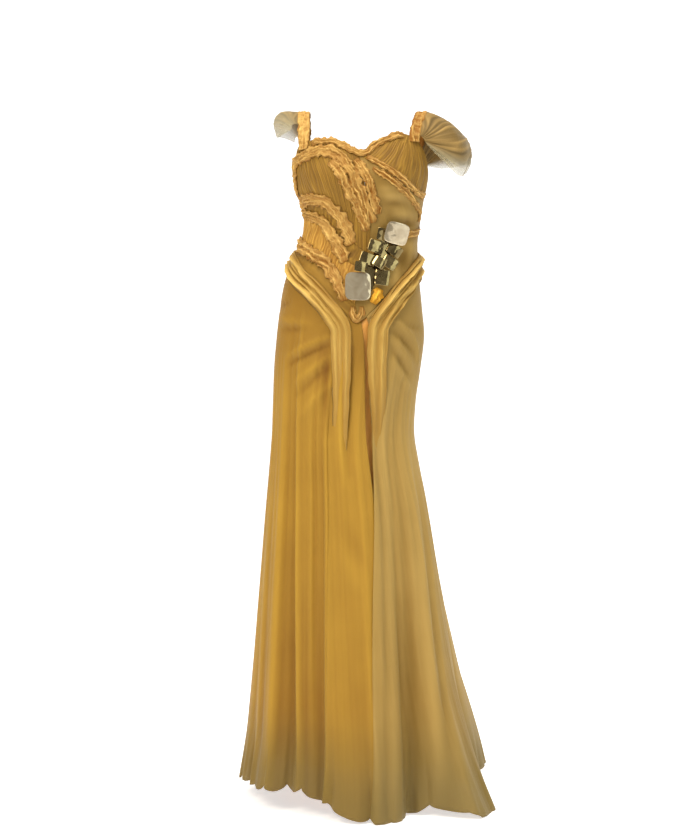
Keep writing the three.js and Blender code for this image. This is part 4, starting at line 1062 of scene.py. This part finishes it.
def hip_drape(name, path, width, height, fallen, seed, rolls):
    """A swag of soft rolls that falls at the front as folds and runs out into the skirt. Each roll has its
    middle (-1 to 1 across), half width, height as a share, drift across, and the share of the length where
    it ends."""
    length = length_of(path)
    stations = int(length / 2.5)
    ring_top = 37

    def section(share):
        s = np.linspace(-1, 1, ring_top)[None, :]
        t = (share * length)[:, None]
        share = share[:, None]
        end = np.sqrt(np.clip(share * 8 + 0.1, 0, 1))
        drop = smooth(fallen, 1, share)
        half = width / 2 * mix(0.75, 1, end) * mix(1, 0.62, drop)
        tall = 0.12 * np.clip(1 - s**4, 0, 1) * (1 - drop)
        for k, roll in enumerate(rows_of(rolls)):
            middle = roll["middle"] + roll["drift"] * np.sin(np.pi * share)
            middle = middle + mix(0.12, 0.04, smooth(0.4, 0.6, share)) * noise(t / 60, 3.3 * k, seed)
            wide = roll["half"] * (1 + 0.3 * noise(t / 42, 5.1 * k, seed + 1))
            keep = smooth(roll["until"], roll["until"] - 0.42, share)
            top = roll["tall"] * (0.85 + 0.15 * noise(t / 34, 7.7 * k, seed + 2)) * keep
            wide = wide * np.where(s > middle, 1.15, 0.72)
            tall = np.maximum(tall, top * np.exp(-1.4 * abs((s - middle) / wide) ** 1.6))
        drawn = (1 - abs(noise(t / 70, s * 5.5 + 0.3 * noise(t / 40, s, seed + 6), seed + 5))) ** 3
        tall = tall + 0.3 * drawn * (1 - drop) - 0.08
        edge = np.clip((1 - abs(s)) * 7, 0, 1) ** 0.5
        crushed = 1 + 0.14 * noise(t / 11, s * 4, seed + 3) * smooth(0.7, 0.5, share)
        hangs = smooth(fallen - 0.12, fallen + 0.08, share)
        high = height * end * edge * mix(1, 0.42, hangs) * mix(1, 0.5, drop) * tall * crushed
        side = half * s * (1 + 0.06 * noise(t / 26, 4 * np.sign(s), seed + 4))
        low = UNDER * half
        return np.hstack([side, low]), np.hstack([high, 0 * low])

    def lift(share):
        return LIFT + 3.4 * smooth(fallen - 0.22, fallen, share) - 8 * smooth(0.7, 0.97, share)

    rings = laid(path, stations, section, lift)
    share = np.linspace(0, 1, stations)
    _, tall = section(share)
    # Painted highlight on the tops of the rolls and painted shade between them; where the swag hangs as
    # folds, a paler painted highlight by height that evens out towards the end.
    swagged = 0.05 + 0.95 * tall / height
    hung = 0.24 + 0.34 * tall / tall.max(1, keepdims=True)
    hung = mix(hung, 0.24, smooth(0.64, 0.88, share)[:, None])
    crest = mix(swagged, hung, smooth(fallen - 0.12, fallen + 0.06, share)[:, None])
    return bar_shell(name, rings, SWAGGED, "chiffon", crest)


cloth_pieces["hip_drape_right"] = hip_drape(
    "hip_drape_right_cloth",
    route(
        (-140, -322), (-112, -322), (-SIDE, -330), (-70, -344),
        *front((-141, -364), (-117, -386), (-92, -412), (-66, -445), (-53, -468), (-50, -500), (-50, -600),
               (-53, -700), (-56, -800)),
    ),
    width=44, height=13, fallen=0.5, seed=311,
    rolls=table("middle half tall drift until", (-0.64, 0.28, 1.0, 0.06, 1.05), (-0.18, 0.17, 0.7, 0.0, 0.85),
                (0.16, 0.13, 0.55, 0.1, 0.7), (0.58, 0.26, 0.85, -0.1, 1.15), (0.9, 0.1, 0.6, 0.0, 0.66)),
)
cloth_pieces["hip_drape_left"] = hip_drape(
    "hip_drape_left_cloth",
    route(
        (140, -322), (112, -324), (SIDE, -336), (72, -350),
        *front((97, -372), (78, -394), (58, -420), (39, -446), (29, -470), (27, -510), (27, -600),
               (30, -700), (34, -790)),
    ),
    width=46, height=13, fallen=0.5, seed=321,
    rolls=table("middle half tall drift until", (-0.84, 0.12, 0.6, 0.05, 0.6), (-0.52, 0.24, 1.0, 0.0, 1.0),
                (-0.08, 0.14, 0.7, 0.0, 0.72), (0.34, 0.36, 0.8, 0.05, 1.15), (0.84, 0.14, 0.6, 0.0, 0.8)),
)

# ---------------------------------------------------------------- straps and sleeves
STRAP_FRONT, STRAP_BACK = 56, 121  # degrees from the middle at which straps pass the front and the back
STRAPS = {
    "strap_right": (
        dict(
            front=on_x(-129, -88), back=(239, -156),
            over=[(-131, -48, -66), (-131, -39, -42), (-131, -23, -16), (-131, -2, -4), (-131, 22, -13),
                  (-130, 40, -50), (-128, 51, -110)],
        ),
        dict(width=28, thick=4, seed=331, strands=3, pucker=7, pale=0.02),
    ),
    "strap_left": (
        dict(
            front=on_x(106, -72), back=(121, -158),
            over=[(108, -54, -57), (113, -43, -37), (120, -24, -15), (126, -2, -5), (126, 22, -14),
                  (122, 41, -52), (118, 51, -104)],
        ),
        dict(width=26, thick=5, seed=341, strands=2, pucker=17, pale=-0.25),
    ),
}


def strap_line(front, over, back):
    """Reads a strap's middle line by share: places, directions along, across and out."""
    def end(place):
        return raised(*place, LIFT + 0.6)

    read = by_length(flowing([end(front), *np.array(over, float), end(back)]))

    def line(share):
        share = np.asarray(share, float)
        at = read(share)
        tangent = unit(read(np.clip(share + 0.01, 0, 1)) - read(np.clip(share - 0.01, 0, 1)))
        turn = np.sign(at[..., 0]) * np.where(at[..., 1] < 0, STRAP_FRONT, STRAP_BACK)
        around = unit(surface(turn + 1, at[..., 2]) - surface(turn - 1, at[..., 2]))
        around = np.where(around[..., :1] < 0, -around, around)
        level = np.array([1.0, 0, 0])
        across = mix(around, level, smooth(-90, -30, at[..., 2])[..., None])
        across = unit(across - tangent * np.sum(across * tangent, -1, keepdims=True))
        return at, across, -unit(np.cross(tangent, across))

    return line, polyline_length(read(np.linspace(0, 1, 200)))


def strap(name, line, length, width, thick, seed, strands, pucker, pale):
    """A ruched strap of strands of crushed cloth."""
    stations = int(length / STATION)
    share = np.linspace(0, 1, stations)
    t, s = (share * length)[:, None], ACROSS
    tall = 0.4 + 1.2 * thick * DOME * strands_at(t, s, strands, pucker, seed, 0.5)
    fray = 1 + abs(s) * (0.09 * noise(t / 5, 9 * np.sign(s), seed + 8) + 0.05 * noise(t / 2.5, s, seed + 9))
    side = width / 2 * s * fray
    low = np.repeat(UNDER * width / 2, stations, 0)
    side, tall = np.hstack([side, low]), np.hstack([tall, 0 * low])
    at, across, out = line(share)
    rings = at[:, None] + across[:, None] * side[..., None] + out[:, None] * tall[..., None]
    # Painted highlight on the raised strands and painted shade low down; pale moves that painted light for
    # the whole strap.
    return bar_shell(name, rings, RUCHED, "ruffle", pale + 0.8 * tall / thick)


strap_lines = {}
for strap_name, (course, sizes) in STRAPS.items():
    strap_lines[strap_name], strap_length = strap_line(**course)
    cloth_pieces[strap_name] = strap(strap_name + "_cloth", strap_lines[strap_name], strap_length, **sizes)

SLEEVE_UNDER = 3.0  # how far a sleeve reaches under its strap
SLEEVE_LEFT = table(
    "share over_x over_y over_z hem_x hem_y hem_z",
    (0.07, 128, -56, -64, 134, -54, -76),
    (0.17, 170, -66, -46, 169, -52, -112),
    (0.27, 222, -52, -34, 203, -34, -142),
    (0.38, 252, -4, -38, 216, 0, -138),
    (0.49, 246, 40, -40, 230, 42, -116),
    (0.64, 182, 68, -62, 176, 64, -122),
    (0.82, 137, 60, -104, 143, 62, -118),
)
CAP_RIGHT = table(
    "share over_x over_y over_z hem_x hem_y hem_z",
    (0.2, -158, -42, -28, -156, -50, -44),
    (0.29, -186, -30, -8, -180, -32, -58),
    (0.39, -214, 2, 4, -188, 0, -58),
    (0.48, -196, 26, -4, -182, 30, -56),
    (0.56, -172, 42, -24, -166, 46, -60),
    (0.63, -152, 50, -48, -152, 54, -66),
)


def sleeve(name, rows, strap_name, side, grid, count, rise, seed, sheer):
    """A draped sleeve of lines of cloth from the strap over a control point to the hem."""
    over, hem = (flowing(np.stack([rows[part + axis] for axis in "xyz"], 1)) for part in ("over_", "hem_"))
    places = np.linspace(0, 1, len(over))
    half = STRAPS[strap_name][1]["width"] / 2 - SLEEVE_UNDER

    def read(u, v):
        share = np.interp(u, np.linspace(0, 1, len(rows["share"])), rows["share"])
        at, across, _ = strap_lines[strap_name](share)
        start = at + across * side * half
        control, end = (
            np.stack([np.interp(u, places, line[:, k]) for k in range(3)], -1) for line in (over, hem)
        )
        v = v[..., None]
        return start * (1 - v) ** 2 + control * 2 * v * (1 - v) + end * v**2

    u, v = shares(grid)
    step = 0.01
    around = read(np.clip(u + step, 0, 1), v) - read(np.clip(u - step, 0, 1), v)
    hang = read(u, np.clip(v + step, 0, 1)) - read(u, np.clip(v - step, 0, 1))
    out = unit(np.cross(hang, around)) * side
    free = smooth(0, 0.1, u) * smooth(1, 0.9, u)
    wave = gathers(v + 0.25 * noise(u * 3, v, seed + 5), u, count, seed, keen=1.0)
    height = rise * wave * mix(0.35, 1, free) * mix(0.5, 1, v) + 2.0 * noise(u * 4, v * 3, seed + 7) * free
    base = read(u, v)
    outer = base + out * (CLOTH + height)[..., None]
    inner = base + out * (CLOTH + height - THIN)[..., None]
    # Painted highlight on the crests of the gathers and painted shade between them.
    return cloth_shell(name, outer, inner, FLOATING, 0.1 + 0.95 * wave, smooth(*sheer, v))


cloth_pieces["sleeve_left"] = sleeve(
    "sleeve_left_cloth", SLEEVE_LEFT, "strap_left", 1, (110, 100), 12, 4.2, 351, sheer=(0.74, 1.0)
)
cloth_pieces["cap_right"] = sleeve(
    "cap_right_cloth", CAP_RIGHT, "strap_right", -1, (80, 60), 6, 1.8, 361, sheer=(-0.3, 1.2)
)

# ---------------------------------------------------------------- metal ornament
ORNAMENT_BAR, ORNAMENT_THICK, ORNAMENT_LIFT = 34, 1.5, LIFT - 0.3
ornament_line = route(*front((-10, -400), (66, -252)), bent=True)
PLATE_THICK = 1.2
WIDE_PLATE = 40
WIDE_CORNERS, SMALL_CORNERS = 4.5, 9  # the higher, the squarer
# A plate's rings of points: share of its outline, and height as a share of half its thickness.
PLATE_RINGS = (
    (0.25, 1), (0.5, 1), (0.75, 1), (0.92, 1), (0.97, 1),
    (1, 0.5), (1, -0.5), (0.97, -1), (0.92, -1), (0.5, -1),
)
PEG = 2.5  # radius
PEG_SIDES = 24
PEG_FOOT = 0.4
PLATES = table(
    "along across length width bend spin lean height",
    (0.08, -13, 60, 56, 16, 27, 3, 8),
    (0.32, 23, 34, 32, 40, 20, -8, 9),
    (0.3, -27, 22, 30, 60, 20, 6, 17),
    (0.44, -23, 24, 36, 50, 8, 6, 10),
    (0.46, 1, 22, 28, 70, -4, -6, 18),
    (0.54, 22, 26, 34, 50, -6, -10, 8),
    (0.62, -21, 26, 36, 40, 10, 8, 15),
    (0.71, 20, 24, 34, 60, -8, -4, 9),
    (0.82, -22, 26, 26, 60, 16, 10, 8),
    (0.915, 2, 46, 54, 34, 12, -6, 18),
)


def turned(axis, degrees):
    return np.array(Matrix.Rotation(degrees * DEG, 3, axis))


def ornament_frame(at, across):
    """Place and directions (across, up, out) for a plate on the ornament's bar."""
    turn, z = ornament_line(at)
    ahead = ornament_line(at + 0.02)
    out = unit(raised(turn, z, 1.0) - surface(turn, z))
    axis = surface(*ahead) - surface(turn, z)
    up = unit(axis - out * (axis @ out))
    side = np.cross(up, out)
    place = raised(turn, z, ORNAMENT_LIFT + ORNAMENT_THICK) + side * across
    return place, np.stack([side, up, out])


def rounded_outline(width, length, squareness):
    a = np.linspace(0, 2 * np.pi, 48, endpoint=False)
    sides = np.stack([np.cos(a), np.sin(a)], 1)
    return np.sign(sides) * abs(sides) ** (2 / squareness) * [width, length] / 2


def loop_sides(count, first, second):
    """Faces between two loops of points, each given by the number of its first point."""
    k = np.arange(count)
    after = (k + 1) % count
    return np.stack([first + k, first + after, second + after, second + k], 1)


def tile(plate):
    """Points and faces of a plate bent like a roof tile, with rounded corners and a bevelled rim."""
    radius = plate["width"] / 2 / np.sin(plate["bend"] * DEG / 2)
    corners = WIDE_CORNERS if plate["width"] > WIDE_PLATE else SMALL_CORNERS
    outline = rounded_outline(plate["width"], plate["length"], corners)
    count = len(outline)
    rings = []
    for share, level in PLATE_RINGS:
        flat = outline * share
        angle = flat[:, 0] / radius
        reach = radius + level * PLATE_THICK / 2
        rings.append(np.stack([reach * np.sin(angle), flat[:, 1], reach * np.cos(angle) - radius], 1))
    points = np.vstack([*rings, [[0, 0, PLATE_THICK / 2]], [[0, 0, -PLATE_THICK / 2]]])
    faces = np.vstack([loop_sides(count, i * count, (i + 1) * count) for i in range(len(rings) - 1)])
    faces = faces[:, ::-1].tolist()
    top, bottom, last = len(points) - 2, len(points) - 1, (len(rings) - 1) * count
    for k in range(count):
        after = (k + 1) % count
        faces += [[top, k, after], [bottom, last + after, last + k]]
    return points, faces


def peg(plate):
    """Points and faces of the peg under a plate. It stays on the bar where the plate reaches past it."""
    edge = ORNAMENT_BAR / 2 - PEG - 1
    reach = np.clip(plate["across"], -edge, edge) - plate["across"]
    a = np.linspace(0, 2 * np.pi, PEG_SIDES, endpoint=False)
    ring = np.stack([PEG * np.cos(a) + reach, PEG * np.sin(a)], 1)
    ends = (PEG_FOOT, plate["height"] - PLATE_THICK)
    points = np.vstack([np.column_stack([ring, np.full(PEG_SIDES, z)]) for z in ends])
    faces = loop_sides(PEG_SIDES, 0, PEG_SIDES).tolist()
    return points, [*faces, list(range(PEG_SIDES))[::-1], list(range(PEG_SIDES, 2 * PEG_SIDES))]


def ornament_plate(number, plate):
    """A plate on its peg, turned and leaned on the ornament's bar."""
    points, faces = tile(plate)
    points = points @ (turned("Z", plate["spin"]) @ turned("Y", plate["lean"])).T + [0, 0, plate["height"]]
    peg_points, peg_faces = peg(plate)
    faces += [[len(points) + k for k in face] for face in peg_faces]
    place, directions = ornament_frame(plate["along"], plate["across"])
    points = np.vstack([points, peg_points]) @ directions + place
    name = f"ornament_plate_{number:02d}"
    # The smaller plates take the darker copy, with painted dark reflections.
    metal = MIRROR if plate["width"] > WIDE_PLATE else PAINTED_DARK_MIRROR
    made = piece_from(name + "_metal", points, faces, metal, "ornament")
    made.data.set_sharp_from_angle(angle=30 * DEG)
    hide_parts(name)


for plate_number, plate_row in enumerate(rows_of(PLATES), 1):
    ornament_plate(plate_number, plate_row)
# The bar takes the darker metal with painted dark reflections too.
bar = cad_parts["ornament_bar"]
bar.data.materials.clear()
bar.data.materials.append(PAINTED_DARK_MIRROR)

# ---------------------------------------------------------------- what stands for what, and the cuts
# Flat width, flat length, the share of that rectangle that the cut piece fills, and how the cloth is held.
CUTS = {
    "cup_right": (0.24, 0.20, 0.9, "gathered"),
    "rib_band_right": (0.22, 0.05, 0.9, "gathered"),
    "waist_fan_right": (0.24, 0.085, 0.8, "gathered"),
    "basque_right": (0.20, 0.12, 0.55, "stretched"),
    "cup_left": (0.20, 0.14, 0.85, "gathered"),
    "midriff_left": (0.20, 0.24, 0.85, "stretched"),
    "bodice_back": (0.36, 0.21, 0.95, "gathered"),
    "skirt_right": (0.86, 1.20, 0.72, "hung"),
    "skirt_center": (0.13, 1.10, 0.9, "hung"),
    "skirt_left": (1.00, 1.20, 0.68, "hung"),
    "underskirt": (1.45, 1.10, 0.7, "hung"),
    "neck_binding": (0.30, 0.018, 1, "gathered"),
    "ruffle_cup": (0.46, 0.033, 1, "gathered"),
    "ruffle_cup_inner": (0.22, 0.026, 1, "gathered"),
    "ruffle_center": (0.17, 0.025, 1, "gathered"),
    "ruffle_cross_upper": (0.24, 0.018, 1, "gathered"),
    "ruffle_cross_lower": (0.24, 0.017, 1, "gathered"),
    "ruffle_rib_upper": (0.25, 0.034, 1, "gathered"),
    "ruffle_rib_lower": (0.23, 0.029, 1, "gathered"),
    "ruffle_waist": (0.28, 0.032, 1, "gathered"),
    "front_tuck": (0.08, 0.018, 1, "gathered"),
    "ornament_tuft": (0.05, 0.025, 1, "gathered"),
    "side_tuck_left": (0.09, 0.017, 1, "gathered"),
    "hip_drape_right": (0.70, 0.055, 1, "draped"),
    "hip_drape_left": (0.68, 0.054, 1, "draped"),
    "strap_right": (0.32, 0.031, 1, "gathered"),
    "strap_left": (0.31, 0.030, 1, "gathered"),
    "sleeve_left": (0.26, 0.18, 0.85, "draped"),
    "cap_right": (0.16, 0.09, 0.9, "draped"),
}
for piece_name, (width, length, cut_share, held) in CUTS.items():
    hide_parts(piece_name)

# ---------------------------------------------------------------- camera, floor and light
CAMERA_PLACE, CAMERA_AT = (-58, -4200, -350), (-58, 0, -669)
LIT = Vector((-0.03, 0, -0.7))  # where the lamps point, in metres


def aimed(thing, place, at):
    thing.location = place
    thing.rotation_euler = (at - place).to_track_quat("-Z", "Y").to_euler()
    return thing


lens = bpy.data.cameras.new("camera")
lens.lens = 82.5
lens.sensor_width = 36
scene = bpy.context.scene
scene.camera = aimed(shown("camera", lens), Vector(CAMERA_PLACE) * MM, Vector(CAMERA_AT) * MM)
scene.view_settings.view_transform = "Standard"


def studio_floor():
    """A pale floor that curves up into a backdrop. Its sizes are in metres."""
    reach, behind, bend, wall = 12.0, 5.0, 2.0, 7.0
    quarter = np.linspace(0, np.pi / 2, 14)
    profile = [(-reach, 0), *((behind + bend * np.sin(a), bend * (1 - np.cos(a))) for a in quarter)]
    profile.append((behind + bend, wall))
    ground = (FLOOR - 1.0) * MM
    points = [(side * reach, y, ground + z) for y, z in profile for side in (-1, 1)]
    faces = [(2 * i, 2 * i + 1, 2 * i + 3, 2 * i + 2) for i in range(len(profile) - 1)]
    mesh = bpy.data.meshes.new("studio floor")
    mesh.from_pydata(points, [], faces)
    mesh.shade_smooth()
    paper, _, _ = new_material(
        "studio paper", Base_Color=(0.9, 0.9, 0.9, 1), Roughness=0.9, Emission_Color=(1, 1, 1, 1),
        Emission_Strength=0.6,
    )
    mesh.materials.append(paper)
    shown("studio_floor", mesh)


def studio_air():
    """Soft light from all round, stronger from above."""
    world = bpy.data.worlds.new("studio air")
    world.use_nodes = True
    tree = world.node_tree
    background = tree.nodes["Background"]
    direction = node(tree, "ShaderNodeTexCoord").outputs["Generated"]
    up = node(tree, "ShaderNodeSeparateXYZ", Vector=direction).outputs["Z"]
    sky = node(tree, "ShaderNodeMapRange", Value=up, From_Min=-0.2, From_Max=0.8, To_Min=0.1, To_Max=0.42)
    tree.links.new(sky.outputs["Result"], background.inputs["Strength"])
    background.inputs["Color"].default_value = (1.0, 0.98, 0.95, 1)
    scene.world = world


studio_floor()
studio_air()
# Lamps: place and size in metres, power in watts, and tint.
for lamp_name, place, size, power, tint in (
    ("key", (-2.2, -2.8, 2.3), 1.8, 112, (1.0, 0.93, 0.8)),
    ("fill", (3.2, -3.0, 0.9), 2.4, 29, (0.9, 1.0, 0.96)),
    ("top", (0.2, -0.9, 2.5), 1.4, 76, (1.0, 0.97, 0.9)),
    ("rim", (1.8, 2.4, 0.8), 1.6, 12, (1.0, 1.0, 0.95)),
):
    lamp = bpy.data.lights.new(lamp_name, "AREA")
    lamp.energy = power
    lamp.size = size
    lamp.color = tint
    aimed(shown(lamp_name, lamp), Vector(place), LIT)
